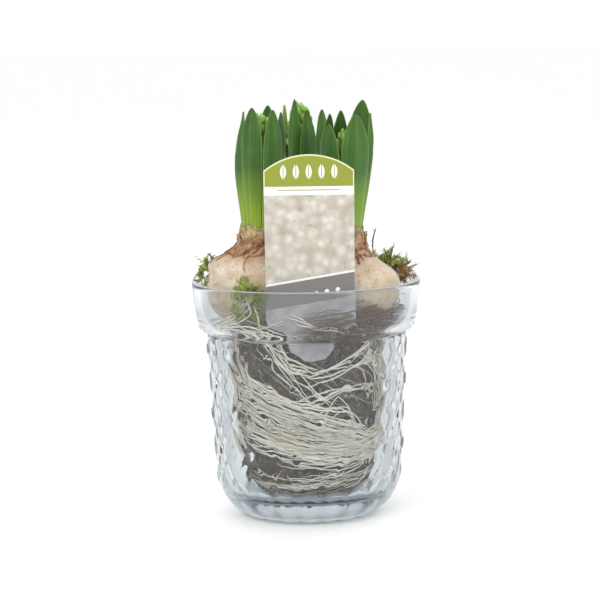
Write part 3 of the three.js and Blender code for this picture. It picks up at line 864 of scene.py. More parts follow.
def label_material(settings):
    """The printed label: a green band with plain leaves, a pale field of round blossoms and a grey foot"""
    finish = Finish("Printed label", tint(222, 217, 208), Coat_Weight=0.25, Coat_Roughness=0.15)
    spot, x, front, z = finish.flow()
    white = tint(240, 240, 236)
    off_middle = finish.math("ABSOLUTE", x)

    def above(value, level):
        return finish.math("GREATER_THAN", value, level)

    def below(value, level):
        return finish.math("LESS_THAN", value, level)

    def squared(value):
        return finish.math("POWER", value, 2.0)

    def round_distance(across, up):
        return finish.math("SQRT", finish.plus(squared(across), squared(up)))

    def repeat(value, step):
        return finish.minus(finish.math("FLOORED_MODULO", value, step), step / 2)

    def cells(scale, feature, **inputs):
        inputs = {"Vector": spot, "Scale": scale, **inputs}
        return finish.add("ShaderNodeTexVoronoi", inputs, feature=feature).outputs["Distance"]

    def cloud(scale, detail, low, high):
        mist = finish.add("ShaderNodeTexNoise", {"Vector": spot, "Scale": scale, "Detail": detail})
        return finish.stretch(mist.outputs[0], low, high)

    # Soft round blossoms fill the pale field, with yellower hearts and a little green between
    petals = cells(0.2, "SMOOTH_F1", Randomness=0.9, Smoothness=0.6)
    finish.lay(finish.stretch(petals, 0.1, 0.75), settings.field)
    finish.lay(cloud(0.16, 3.0, 0.45, 0.65), tint(172, 163, 147), 0.4)
    hearts = cells(0.09, "F1", Randomness=0.8)
    finish.lay(finish.stretch(hearts, 0.16, 0.06), tint(206, 198, 130), 0.4)
    finish.lay(cloud(0.3, 2.0, 0.66, 0.72), tint(134, 148, 88), 0.6)
    # Grey foot under a straight slanted edge with a white line, with a row of plain dots
    slant = finish.plus(z, finish.times(x, GREY_SLOPE))
    finish.lay(below(slant, GREY_TOP + WHITE_LINE), white)
    # Painted reflection: low down, where the collar glass stands in front, the grey is painted paler in soft
    # patches
    painted_reflection = finish.blend(
        finish.mottle(140, 0.42, 0.6), opaque(tint(158, 154, 156)), opaque(tint(178, 176, 176)))
    foot = finish.blend(below(slant, GREY_TOP - PAINTED_REFLECTION_DROP), opaque(settings.foot), painted_reflection)
    finish.lay(below(slant, GREY_TOP), foot)
    off_dot = round_distance(repeat(x, DOT_STEP), finish.minus(slant, GREY_TOP - DOT_DROP))
    dots = finish.times(below(off_dot, DOT_RADIUS), above(x, DOT_SPAN[0]), below(x, DOT_SPAN[1]))
    finish.lay(dots, white)
    # Plain strip, then the green band with a row of upright leaves
    finish.lay(above(z, STRIP_BOTTOM), white)
    low, high = (STRIP_BOTTOM + level for level in STRIP_LINE)
    line = finish.times(above(z, low), below(z, high), below(off_middle, PRINT_REACH))
    finish.lay(line, tint(160, 164, 120))
    finish.lay(above(z, BAND_BOTTOM), settings.band)
    up = finish.minus(z, BAND_BOTTOM + PRINTED_LEAF_RISE)
    off_leaf = finish.math("ABSOLUTE", repeat(finish.plus(x, PRINTED_LEAF_STEP / 2), PRINTED_LEAF_STEP))
    lens = finish.plus(off_leaf, finish.times(squared(up), 0.09))
    leaves = finish.times(below(lens, PRINTED_LEAF_HALF), below(off_middle, PRINT_REACH + 0.4))
    finish.lay(leaves, white)
    finish.lay(finish.times(leaves, below(off_leaf, MIDRIB_HALF)), settings.band)
    # Light border along the arch and the sides of the band
    arch = label_arch()
    reach = round_distance(x, finish.minus(z, LABEL["top"] - arch))
    side = above(off_middle, LABEL["width"] / 2 - BORDER + 0.1)
    border = finish.most(above(reach, arch - BORDER), side)
    finish.lay(finish.times(border, above(z, BAND_BOTTOM - 1)), tint(222, 226, 170))
    finish.lay(below(front, 0.5), tint(236, 236, 232))
    grain = finish.mottle(900)
    return finish.surface(grain, 0.00005, 0.3, (grain, 0.3, 0.4))


def floor_material(settings):
    finish = Finish("Pale floor", settings.floor, Roughness=0.8)
    finish.lay(finish.mottle(3), np.array(settings.floor) * 0.995)
    return finish.surface(finish.mottle(600), 0.0001, 0.1)


def piece_tree(name, inputs, build):
    """A Geometry Nodes tree that ends in real mesh with its material"""
    def whole(wiring, given):
        solid = wiring.add("GeometryNodeRealizeInstances", {"Geometry": build(wiring, given)})
        return wiring.add("GeometryNodeSetMaterial", {"Geometry": solid, "Material": given["Material"]})

    sockets = [("Geometry", "Geometry", None), *inputs, ("Material", "Material", None)]
    return node_group(name, "GeometryNodeTree", sockets, ("Geometry", "Geometry"), whole)


def toned(wiring, copies, seed):
    """Copies with a random tone each"""
    return wiring.add("GeometryNodeStoreNamedAttribute", {
        "Geometry": copies, "Name": "tone", "Value": wiring.chance(0.0, 1.0, seed),
    }, data_type="FLOAT", domain="INSTANCE")


def strand_tree():
    """Round strands along the edges of a mesh, as thick as each point says"""
    def build(wiring, given):
        curve = wiring.add("GeometryNodeMeshToCurve", {"Mesh": given["Geometry"]})
        section = wiring.add("GeometryNodeCurvePrimitiveCircle", {
            "Resolution": given["Sides"], "Radius": 1.0})
        thickness = wiring.add("GeometryNodeInputNamedAttribute", {"Name": "thickness"}, data_type="FLOAT")
        tubes = wiring.add("GeometryNodeCurveToMesh", {
            "Curve": curve, "Profile Curve": section, "Scale": thickness, "Fill Caps": True})
        return wiring.add("GeometryNodeSetShadeSmooth", {"Geometry": tubes})

    return piece_tree("Strands", [("Sides", "Int", 5)], build)


def scatter_tree():
    """Copies of a small piece all over a surface, each turned, leaned and sized at random"""
    def build(wiring, given):
        spots = wiring.add("GeometryNodeDistributePointsOnFaces", {
            "Mesh": given["Geometry"], "Density": given["Density"], "Seed": given["Seed"]})
        lean = given["Lean"]
        back = wiring.times(lean, -1.0)
        turn = wiring.add("FunctionNodeRandomValue", {
            "Min": wiring.vector(back, back, -math.pi), "Max": wiring.vector(lean, lean, math.pi),
            "Seed": given["Seed"]}, data_type="FLOAT_VECTOR")
        by = wiring.add("FunctionNodeEulerToRotation", {0: turn.outputs[0]})
        turned = wiring.add("FunctionNodeRotateRotation", {
            0: spots.outputs["Rotation"], 1: by}, rotation_space="LOCAL")
        size = wiring.chance(given["Smallest"], given["Largest"], given["Seed"])
        copy = wiring.add("GeometryNodeObjectInfo", {0: given["Copy"], 1: True})
        copies = wiring.add("GeometryNodeInstanceOnPoints", {
            "Points": spots.outputs["Points"], "Instance": copy.outputs["Geometry"], "Rotation": turned,
            "Scale": size})
        return toned(wiring, copies, 7)

    return piece_tree("Scatter", [
        ("Copy", "Object", None), ("Density", "Float", 1000.0), ("Smallest", "Float", 0.6),
        ("Largest", "Float", 1.2), ("Lean", "Float", 0.6), ("Seed", "Int", 0),
    ], build)


def spike_tree():
    """Buds in a tight spiral up a leaning core, larger and wider set below the middle"""
    def build(wiring, given):
        line = wiring.add("GeometryNodeMeshLine", {"Count": given["Count"], "Offset": (0, 0, 0)})
        index = wiring.add("GeometryNodeInputIndex")
        share = wiring.math("DIVIDE", wiring.plus(index, 0.5), given["Count"])
        angle = wiring.times(index, GOLDEN_TURN)
        narrow = wiring.most(wiring.math("DIVIDE", wiring.minus(share, 0.45), 0.6), 0.0)
        round_off = wiring.most(wiring.minus(1.0, wiring.math("POWER", narrow, 2.0)), 0.05)
        reach = wiring.times(wiring.math("SQRT", round_off), given["Radius"])
        place = wiring.vector(
            wiring.times(reach, wiring.math("COSINE", angle)),
            wiring.times(reach, wiring.math("SINE", angle)),
            wiring.times(share, given["Length"]))
        drift = wiring.vector_math("SCALE", given["Drift"], share)
        final = wiring.vector_math("ADD", wiring.vector_math("ADD", place, drift), given["Foot"])
        spots = wiring.add("GeometryNodeSetPosition", {"Geometry": line, "Position": final})
        tilt = wiring.stretch(share, 0.0, 1.0, 0.75, 0.1)
        turn = wiring.add("FunctionNodeEulerToRotation", {0: wiring.vector(0.0, tilt, angle)})
        size = wiring.chance(0.85, 1.1, given["Seed"])
        taper = wiring.times(size, wiring.stretch(share, 0.5, 1.0, 1.0, 0.72))
        bud = wiring.add("GeometryNodeObjectInfo", {0: given["Bud"], 1: True})
        buds = wiring.add("GeometryNodeInstanceOnPoints", {
            "Points": spots, "Instance": bud.outputs["Geometry"], "Rotation": turn, "Scale": taper})
        return toned(wiring, buds, 3)

    return piece_tree("Spike", [
        ("Bud", "Object", None), ("Count", "Int", 30), ("Length", "Float", 0.025), ("Radius", "Float", 0.005),
        ("Foot", "Vector", None), ("Drift", "Vector", None), ("Seed", "Int", 0),
    ], build)


def body_radius(z):
    """Outside of the glass under the collar, at a height"""
    return mix(BODY["low_radius"], BODY["top_radius"], (z - OUTER_CORNER) / (BODY["top"] - OUTER_CORNER))


def inner_radius(z):
    """Inside of the glass at a height"""
    start = FLOOR + INNER_CORNER
    side = body_radius(max(z, start)) - BODY["wall"]
    if z >= COLLAR["bottom"] + 2:
        low = COLLAR["low_radius"] - COLLAR["wall"]
        share = (z - COLLAR["bottom"] - 2) / (POT_HEIGHT - COLLAR["bottom"] - 2)
        return mix(low, RIM_RADIUS - COLLAR["wall"], share)
    if z >= start:
        return side
    drop = min(INNER_CORNER, start - z)
    return side - INNER_CORNER + math.sqrt(INNER_CORNER ** 2 - drop ** 2)


def rounded(path, rounds=3):
    """A path with its corners cut, again and again, until they are round"""
    for _ in range(rounds):
        path = [path[0]] + [
            tuple(mix(np.array(a), np.array(b), share))
            for a, b in zip(path, path[1:]) for share in (0.25, 0.75)
        ] + [path[-1]]
    return path


def spaced(path, step):
    """Points at even steps along a path"""
    path = np.array(path, float)
    lengths = np.hypot(*np.diff(path, axis=0).T)
    reached = np.concatenate([[0], np.cumsum(lengths)])
    count = max(2, round(reached[-1] / step) + 1)
    at = np.linspace(0, reached[-1], count)
    return np.stack([np.interp(at, reached, path[:, i]) for i in range(2)], axis=1)


def relief(angle, z):
    """Height of the pressed pattern as a share: ridges, oval bosses and small raised diamonds"""
    low_angle = math.asin(1 - (RELIEF_TOP - 4 * RELIEF_STEP) / OUTER_CORNER)
    v = (RELIEF_TOP - z) / RELIEF_STEP
    if v > 4:
        v = 4 + 2 * (math.asin(1 - z / OUTER_CORNER) - low_angle) / (math.pi / 2 - low_angle)
    u = (angle - RELIEF_TURN / 2) / RELIEF_TURN
    p, q = (u + v) / 2, (u - v) / 2
    off_p, off_q = p - np.round(p), q - np.round(q)
    ridge = np.exp(-(np.minimum(np.abs(off_p), np.abs(off_q)) / RIDGE_WIDTH) ** 2)
    across, up = RELIEF_WIDTH * (off_p + off_q), RELIEF_STEP * (off_p - off_q)
    boss = 1 - smooth(np.hypot(across / BOSS[0], up / BOSS[1]), 0.75, 1.12)
    off_p, off_q = p - np.floor(p) - 0.5, q - np.floor(q) - 0.5
    across, up = RELIEF_WIDTH * (off_p + off_q), RELIEF_STEP * (off_p - off_q)
    slant = np.abs(across) / DIAMOND[0] + np.abs(up) / DIAMOND[1]
    facet = np.clip((1.15 - slant) / 0.5, 0, 1)
    height = np.maximum.reduce([RIDGE_HEIGHT * ridge, boss, DIAMOND_HEIGHT * facet])
    return height * smooth(BODY["top"] - 1.5 - z, 0, 4)


def build_glass_pot(settings):
    """A thick pressed pot, made ring by ring from under its foot, up over the rim and down inside"""
    depth = settings.relief / MM
    reach = BODY["low_radius"] - FOOT_RADIUS
    corner = [
        (FOOT_RADIUS + reach * math.cos(a), OUTER_CORNER * (1 - math.sin(a)))
        for a in np.linspace(math.pi / 2, 0, 40)
    ]
    wall = spaced(corner + [(BODY["top_radius"], BODY["top"] - 1.6)], POT_STEP)
    neck, neck_height = BODY["top_radius"], BODY["top"]
    ledge, ledge_height = COLLAR["low_radius"], COLLAR["bottom"]
    inside = RIM_RADIUS - COLLAR["wall"]
    collar = rounded([
        (neck + 0.4, neck_height - 1.4), (neck + 1.4, neck_height - 0.4),
        (ledge - 0.8, ledge_height - 1), (ledge + 0.2, ledge_height + 1),
        (RIM_RADIUS - 0.1, POT_HEIGHT - 3), (RIM_RADIUS, POT_HEIGHT), (RIM_RADIUS - 2, POT_HEIGHT),
        (inside, POT_HEIGHT), (inside - 0.1, POT_HEIGHT - 3), (ledge - COLLAR["wall"], ledge_height + 3),
        (neck - BODY["wall"] + 1.4, neck_height), (neck - BODY["wall"], neck_height - 5),
        (inner_radius(FLOOR + INNER_CORNER), FLOOR + INNER_CORNER),
    ])
    floor = [FLOOR + INNER_CORNER * (1 - math.sin(a)) for a in np.linspace(0.05, math.pi / 2, 12)]
    angles = np.array(turns(POT_COLUMNS))
    rings = []

    def add_ring(radius, z, raised=0.0, drop=0.0):
        radii = radius + raised
        heights = np.maximum(0, z - drop + 0 * angles)
        rings.append(np.stack([radii * np.cos(angles), radii * np.sin(angles), heights], 1))

    # The underside is a flat foot ring round a shallow hollow
    for radius, z in UNDERSIDE:
        add_ring(radius, z)
    for radius, z in wall:
        low = max(0, 1 - z / OUTER_CORNER)
        raised = WALL_LIFT + depth * relief(angles, z) * smooth(z, 8, 34)
        raised = raised + SCALLOP_DEPTH * low * np.cos(SCALLOPS * angles)
        raised = raised * smooth(radius, FOOT_RADIUS - 1, FOOT_RADIUS + 5)
        add_ring(radius, z, raised * (1 - 0.4 * low), raised * 0.5 * low)
    for radius, z in spaced(collar, RING_STEP):
        add_ring(radius, z)
    for z in floor:
        add_ring(inner_radius(z), z)
    for radius in (22, 12, 4):
        add_ring(radius, FLOOR)
    points, faces = closed_skin([[tuple(p) for p in ring] for ring in rings])
    piece = add_mesh("pressed_glass_pot", points, faces, glass_material(settings))
    # The foot, the floor inside and the lip are a little frosted
    piece.data.materials.append(foot_material(settings))
    for face in piece.data.polygons:
        under = face.normal.z < -0.6 and face.center.z < FROST_TOP * MM
        inside = face.normal.z > 0.6 and face.center.z < (FLOOR + 2) * MM
        lip = face.normal.z > 0.3 and face.center.z > (POT_HEIGHT - 1.5) * MM
        if under or inside or lip:
            face.material_index = 1
    return finish_piece(piece, "glass", "glass_pot")


def soil_radius(z):
    """Radius of the root ball's wall above its heel"""
    share = (z - SOIL["heel"]) / (SOIL_TOP - SOIL["heel"])
    return mix(SOIL["low_radius"], SOIL["top_radius"], share)


def soil_outline():
    """Radius and height up the root ball and in over its top"""
    side = [(SOIL["base_radius"], SOIL_FOOT), (SOIL["low_radius"] - 1.5, SOIL_FOOT + 4)]
    side += [(soil_radius(z), z) for z in np.linspace(SOIL["heel"], SOIL_TOP - 3, 12)]
    side += [(SOIL["top_radius"] - SOIL["shoulder"], SOIL_TOP - 0.4), (2, SOIL_TOP - 0.4)]
    return [(2, SOIL_FOOT)] + rounded(side, 2)


def build_soil(settings):
    """A rough ball of peat, flat on top, with crumbs all over"""
    material = soil_material(settings)
    rings = []
    for radius, z in spaced(soil_outline(), RING_STEP):
        ring = []
        for angle in turns(SOIL_COLUMNS):
            place = Vector(around(radius, angle, z))
            lumps = noise.fractal(place * PEAT_LUMPS[0], 1.0, 2.2, 4) * PEAT_LUMPS[1]
            rough = lumps + noise.noise(place * PEAT_GRAIN[0]) * PEAT_GRAIN[1]
            dip = min(0.3, rough - 0.5) * min(1, radius / 20)
            flat = smooth(z, SOIL_TOP - 1.5, SOIL_TOP - 0.4)
            ring.append(around(radius + dip * (1 - flat), angle, z + dip * flat))
        rings.append(ring)
    points, faces = closed_skin(rings)
    ball = add_mesh("root_ball_peat", points, faces, material)
    size = settings.crumb / MM
    crumb = add_mesh("crumb", *closed_skin([
        [around(radius * size, angle, z * size) for angle in CRUMB_ANGLES] for radius, z in CRUMB_OUTLINE]))
    crumbs = link(ball.copy())
    add_modifier_tree(crumbs, scatter_tree(), {
        "Copy": crumb, "Density": CRUMB_DENSITY, "Smallest": 0.4, "Largest": 1.3, "Lean": 1.5, "Seed": 5,
        "Material": material})
    apply_all(crumbs)
    remove(crumb)
    piece = join_meshes("root_ball_peat", [ball, crumbs])
    return finish_piece(piece, "soil", "soil")


def soil_wall(z):
    """Radius of the root ball's wall at any height, also over its top and in its narrow heel"""
    if z > SOIL["heel"]:
        return soil_radius(min(z, SOIL_TOP))
    return mix(SOIL["base_radius"], SOIL["low_radius"], (z - SOIL_FOOT) / (SOIL["heel"] - SOIL_FOOT))


def strand_path(sweep, share, draw):
    """One root: tucked in the soil at its ends, and sagging and wavering on its way"""
    _, start, end, sag, scatter, lifts, radii = sweep
    off = 2 * share - 1
    first = (start[0] + draw.gauss(0, scatter[0]), start[1] + scatter[1] * off + draw.gauss(0, 2))
    last = (end[0] + draw.gauss(0, scatter[0]), end[1] + scatter[1] * 0.7 * off + draw.gauss(0, 2))
    lift = mix(*lifts, draw.random())
    low = sag * mix(0.6, 1.3, draw.random())
    wave = mix(0.4, 1.7, draw.random())
    seed = Vector((draw.random() * 90, draw.random() * 90, 0))
    path = []
    for i in range(STRAND_POINTS):
        along = i / (STRAND_POINTS - 1)
        waver = noise.noise_vector(seed + Vector((along * WAVER_BENDS, 0, 0)))
        free = 1 - smooth(abs(2 * along - 1), 0.82, 1)
        angle = mix(first[0], last[0], along) + WAVER[0] * wave * waver[0]
        z = mix(first[1], last[1], along) - low * math.sin(math.pi * along) + WAVER[1] * wave * waver[1]
        z = max(z, SOIL_FOOT + 2.5)
        outward = lift * (0.7 + 0.6 * abs(waver[2])) + 0.5
        radius = soil_wall(z) + mix(-1.2 if z < SOIL_TOP else 1.5, outward, free)
        path.append(around(min(radius, inner_radius(z) - 1), math.radians(angle - 90), z))
    return path, mix(*radii, draw.random() ** 1.5)


def crown_path(centre, turn, draw):
    """One root from under the bulb, out over the top of the root ball"""
    path = []
    reach = mix(12, 22, draw.random())
    bend = mix(-0.5, 0.5, draw.random())
    for i in range(CROWN_POINTS):
        along = i / (CROWN_POINTS - 1)
        x, y, _ = around(mix(7.5, 8 + reach, along), turn + bend * along ** 2, 0, centre)
        over = math.hypot(x, y)
        z = SOIL_TOP + 0.6 + 1.6 * math.sin(math.pi * along) * draw.random() - 1.2 * along ** 3
        limit = SOIL["top_radius"] + 1
        if over > limit:
            z -= 1.2 * (over - limit)
            x, y = x * limit / over, y * limit / over
        path.append((x, y, max(z, SOIL_TOP - 9)))
    return path, mix(0.35, 0.6, draw.random())


def make_strands(name, paths, material, sides=5):
    """A piece of round strands along the paths"""
    points, edges, thickness, tones = [], [], [], []
    for path, radius, tone in paths:
        first = len(points)
        points += path
        edges += [(first + i, first + i + 1) for i in range(len(path) - 1)]
        last = len(path) - 1
        ends = [min(1, 0.35 + 4 * min(i, last - i) / last) for i in range(len(path))]
        thickness += [radius * MM * end for end in ends]
        tones += [tone] * len(path)
    piece = add_mesh(name, points, [], material, edges)
    store(piece, "thickness", thickness)
    store(piece, "tone", tones)
    add_modifier_tree(piece, strand_tree(), {"Sides": sides, "Material": material})
    return apply_all(piece)


def loop_path(points):
    """A smooth path through points"""
    corners = np.array(points, float)
    at = np.linspace(0, len(corners) - 1, STRAND_POINTS)
    path = np.stack([np.interp(at, range(len(corners)), corners[:, i]) for i in range(3)], 1)
    return [tuple(point) for point in softened(path, 12)]


def build_roots(settings):
    """Each plant's strands on the flank of the root ball, its crown of roots, and a few loops"""
    material = root_material(settings)
    # Without a seed of its own the vector noise starts from the clock
    noise.seed_set(WAVER_SEED)
    for plant in PLANTS:
        name = plant["name"]
        draw = random.Random(plant["seed"])
        low, high = node_box("bulb_" + name)
        paths = []
        for sweeps, old in ((SWEEPS, False), (OLD_SWEEPS, True)):
            for sweep in sweeps[name]:
                for i in range(sweep[0]):
                    path, radius = strand_path(sweep, (i + 0.5) / sweep[0], draw)
                    paths.append((path, radius, OLD_TONE if old else draw.random() ** 2))
        for turn in turns(CROWN_STRANDS):
            path, radius = crown_path((low + high)[:2] / 2, turn, draw)
            paths.append((path, radius, draw.random() ** 2))
        for points in LOOPS.get(name, ()):
            paths.append((loop_path(points), mix(*LOOP_RADII, draw.random()), 0))
        finish_piece(make_strands("root_strands_" + name, paths, material), "root", "roots_" + name)


def bulb_shape(plant):
    """Heights, the share of the radius at each, and the middle and radius of the bulb's body"""
    shares, heights = zip(*BULB_OUTLINE)
    shares = [share * (plant["shoulder"] if height > SHOULDER else 1)
              for share, height in zip(shares, heights)]
    at = np.linspace(0, BODY_TOP, 101)
    low, high = node_box("bulb_" + plant["name"])
    radius = (high[1] - low[1]) / 2
    centre = (high[0] - radius, (low[1] + high[1]) / 2)
    return at, softened(np.interp(at, heights, shares), 30), centre, radius


def bulb_point(plant, shape, angle, height, lift=0.0):
    """A point on the bulb at an angle and a height over the plate, lifted off it"""
    heights, shares, centre, widest = shape
    share = np.interp(height, heights, shares)
    if height <= BODY_TOP:
        radius = mix(PLATE_RADIUS, widest, share)
    else:
        top = mix(PLATE_RADIUS, widest, BULB_OUTLINE[-1][0])
        radius = mix(top, NECK_RADIUS, smooth(height, BODY_TOP, NECK_BOTTOM))
    drift = smooth(height, SHOULDER, BULB_HEIGHT - 6)
    swell = plant["swell"] * share * smooth(height, *SWELL_RISE) * (1 - smooth(height, *SWELL_END))
    x = mix(centre[0], plant["neck"][0], drift) - swell
    y = mix(centre[1], plant["neck"][1], drift)
    return around(radius + lift, angle, BULB_BASE + height, (x, y))


def build_bulb(plant, material):
    """A ribbed, slightly lumpy bulb with an open neck"""
    shape = bulb_shape(plant)
    draw = random.Random(plant["seed"])
    seed = Vector((draw.random() * 50, 0, 0))
    rings, flows = [], []

    def add_ring(height, radius=None):
        ring = []
        for angle in turns(BULB_COLUMNS):
            way = Vector(around(1, angle, 0))
            if radius is None:
                body = 1 - abs(height - 27) / 30
                rough = -0.35
                for size, close, rise in (BULB_RIBS, BULB_LUMPS):
                    rough += size * noise.noise(way * close + seed + Vector((0, 0, height * rise)))
                ring.append(bulb_point(plant, shape, angle, height, rough * max(0, body)))
            else:
                ragged = 0.8 * (math.sin(4 * angle + seed[0]) + 0.8 * math.sin(7 * angle))
                ragged *= height > NECK_BOTTOM
                ring.append(around(radius, angle, BULB_BASE + height + ragged, plant["neck"]))
            flows.append((way[0], way[1], height / BULB_HEIGHT))
        rings.append(ring)

    for height in np.linspace(0, NECK_BOTTOM, BULB_ROWS):
        add_ring(height)
    for height, radius in NECK_RINGS:
        add_ring(height, radius)
    points, faces = closed_skin(rings)
    piece = add_mesh("bulb_scale_" + plant["name"], points, faces, material)
    store(piece, "flow", flows + [(0, 0, 0), (0, 0, 0.8)])
    return finish_piece(piece, "bulb", "bulb_" + plant["name"])


def skin_strip(plant, shape, draw, angle, width, low, high, lift, flare, curl):
    """A torn strip of dry skin on the bulb: points, flow and the faces that the tear leaves"""
    columns, rows = STRIP_COLUMNS, STRIP_ROWS
    seed = Vector((draw.random() * 99, draw.random() * 99, 0))
    points, flows, faces = [], [], []
    for row in range(rows):
        for column in range(columns):
            u, v = column / (columns - 1), row / (rows - 1)
            torn = unevenness(seed, u * 5, 0, 1) * 0.5
            height = mix(low, high, v * (1 + torn * 0.5)) + 1.4 * unevenness(seed, u * 3, 9, v)
            side = angle + (u - 0.5) * width * (1 - 0.45 * v ** 2) + 0.12 * unevenness(seed, v * 3, 5, u)
            ripple = 0.8 * unevenness(seed, u * 5, v * 4, 3) + 0.5 * unevenness(seed, u * 11, v * 12, 8)
            off = lift + ripple + flare * v ** 2 + curl * (2 * abs(u - 0.5)) ** 3
            points.append(bulb_point(plant, shape, side, height, off))
            flows.append((u * 2, seed[0], v))
    for row in range(rows - 1):
        for column in range(columns - 1):
            u, v = (column + 0.5) / columns, (row + 0.5) / rows
            hole = unevenness(seed, u * 6, v * 6, 7)
            ragged = unevenness(seed, u * 14, 0, 2 if v > 0.5 else 4)
            if hole > 0.42 or abs(2 * v - 1) > 0.86 + 0.5 * ragged:
                continue
            a = row * columns + column
            faces.append((a, a + 1, a + columns + 1, a + columns))
    return points, flows, faces


def skin_strips(draw):
    """Each strip's angle, width, low and high end, lift, flare and curl, those of the sheath last"""
    def between(low, high):
        return mix(low, high, draw.random())

    strips = []
    # Torn skin round the neck
    for i in range(TORN_STRIPS):
        angle = i * GOLDEN_TURN + draw.random()
        low = mix(44, 54, draw.random() ** 0.7)
        strips.append((angle, between(0.25, 0.6), low, low + between(4, 8), between(0.2, 1.1),
                       between(-0.6, 0.4), 0.25))
    # Thin strips down the shoulder
    for i in range(THIN_STRIPS):
        angle = i * GOLDEN_TURN + draw.random()
        strips.append((angle, between(0.04, 0.08), between(40, 45), between(48, 51), between(0.12, 0.25),
                       0.1, between(0.1, 0.2)))
    # Pale sheath round the leaves
    for i in range(SHEATH_STRIPS):
        angle = i * GOLDEN_TURN + draw.random()
        strips.append((angle, between(0.6, 1.0), between(54, 57), between(60, 64), between(-0.9, 0),
                       between(-0.7, 0), 0.1))
    return strips


def build_skins(plant, settings, material):
    """Dry skin round the neck and down the shoulder of a bulb"""
    draw = random.Random(plant["seed"] + 40)
    shape = bulb_shape(plant)
    points, flows, faces, tones = [], [], [], []
    for number, strip in enumerate(skin_strips(draw)):
        first = len(points)
        made, flow, quads = skin_strip(plant, shape, draw, *strip)
        points += made
        flows += flow
        tones += [draw.random() if number < TORN_STRIPS + THIN_STRIPS else SHEATH_TONE] * len(made)
        faces += [tuple(first + i for i in quad) for quad in quads]
    piece = add_mesh("bulb_skin_" + plant["name"], points, faces, material)
    store(piece, "flow", flows)
    store(piece, "tone", tones)
    piece.modifiers.new("Thickness", "SOLIDIFY").thickness = settings.skin_thickness
    apply_all(piece)
    drop_loose(piece)
    return finish_piece(piece, "bulb")


def drop_loose(piece):
    """Takes out points that no face uses"""
    work = bmesh.new()
    work.from_mesh(piece.data)
    bmesh.ops.delete(work, geom=[point for point in work.verts if not point.link_faces], context="VERTS")
    work.to_mesh(piece.data)
    work.free()


def plant_axis(plant, z):
    """Where a plant's middle is at a height, because it leans"""
    along = (z - SOIL_TOP - LEAN_START) / LEAN_RISE
    return tuple(mix(np.array(plant["neck"]), np.array(plant["top"]), along))


def build_leaf(plant, number, leaf, settings, material):
    """A channelled blade with a keel, a hooded point and a thin margin"""
    angle, ring, spread, out, twist = leaf
    name = f"{plant['name']}_{number}"
    node = "leaf_" + name
    tip = node_box(node)[1][2]
    neck, wide = RINGS[ring]
    draw = random.Random(plant["seed"] * 10 + number)
    seed = Vector((draw.random() * 60, 0, 0))
    thickness = settings.thickness / MM
    across = [math.sin(math.pi / 2 * (2 * i / (LEAF_POINTS - 1) - 1)) for i in range(LEAF_POINTS)]
    rings, flows = [], []
    for row in range(LEAF_ROWS):
        along = math.sin(row / (LEAF_ROWS - 1) * math.pi / 2) ** 1.1
        z = mix(SOCKET_FLOOR, tip, along)
        taper = min(1, max(0, (along - 0.7) / 0.3))
        width = math.radians(spread) * max((1 - taper ** 2) ** 0.6, 0.035)
        opening = mix(neck, wide, smooth(along, 0.05, 0.72))
        radius = opening + out * smooth(along, 0.5, 1) - LEAF_HOOD * smooth(along, 0.8, 1)
        turn = math.radians(angle + LEAF_TURNS.get(node, 0) * along ** 2)
        facing = turn + math.radians(twist) * smooth(along, 0.15, 0.8)
        centre = around(-radius, facing, z, around(radius, turn, z, plant_axis(plant, z)))
        fold = LEAF_FOLD * smooth(along, 0.1, 0.5) * (1 - taper)
        thin = 1 - 0.5 * smooth(along, 0.6, 1)
        ring_points = []
        # The outer face runs one way across the leaf and the inner face back
        for outward, places in ((1, across), (-1, across[::-1])):
            for u in places:
                side = width * u
                half = thin * mix(thickness, LEAF_MARGIN, u * u) / 2
                keel = LEAF_KEEL * math.exp(-(u / 0.1) ** 2) * (1 - taper) if outward > 0 else 0
                groove = LEAF_GROOVES[0] * math.cos(u * LEAF_GROOVES[1]) * (1 - u * u)
                waver = LEAF_WAVER * along * unevenness(seed, u * 1.2, along * 2.5)
                reach = radius * (1 + 0.16 * side ** 2) + outward * (half + keel + groove) + waver
                ring_points.append(around(reach + fold * (0.35 - abs(u)), facing + side, z, centre))
                flows.append((u, outward, along))
        rings.append(ring_points)
    points, faces = closed_skin(rings)
    piece = add_mesh("leaf_blade_" + name, points, faces, material)
    store(piece, "flow", flows + [(0, 1, 0), (0, 1, 1)])
    store(piece, "tone", [draw.random()] * len(points))
    store(piece, "young", [float(node == YOUNG_LEAF)] * len(points))
    return finish_piece(piece, "leaf", node)


def bud_mesh():
    """A closed bud of six tepals, pointed, standing on the origin"""
    rings, flows = [], []
    angles, length = turns(BUD_SIDES), BUD_OUTLINE[-1][0]
    for height, radius in BUD_OUTLINE:
        rings.append([around(radius * (1 + 0.09 * math.cos(6 * angle)), angle, height) for angle in angles])
        flows += [around(1, angle, max(0, height / length)) for angle in angles]
    bud = add_mesh("bud", *closed_skin(rings))
    store(bud, "flow", flows + [(0, 0, 0), (0, 0, 1)])
    return bud


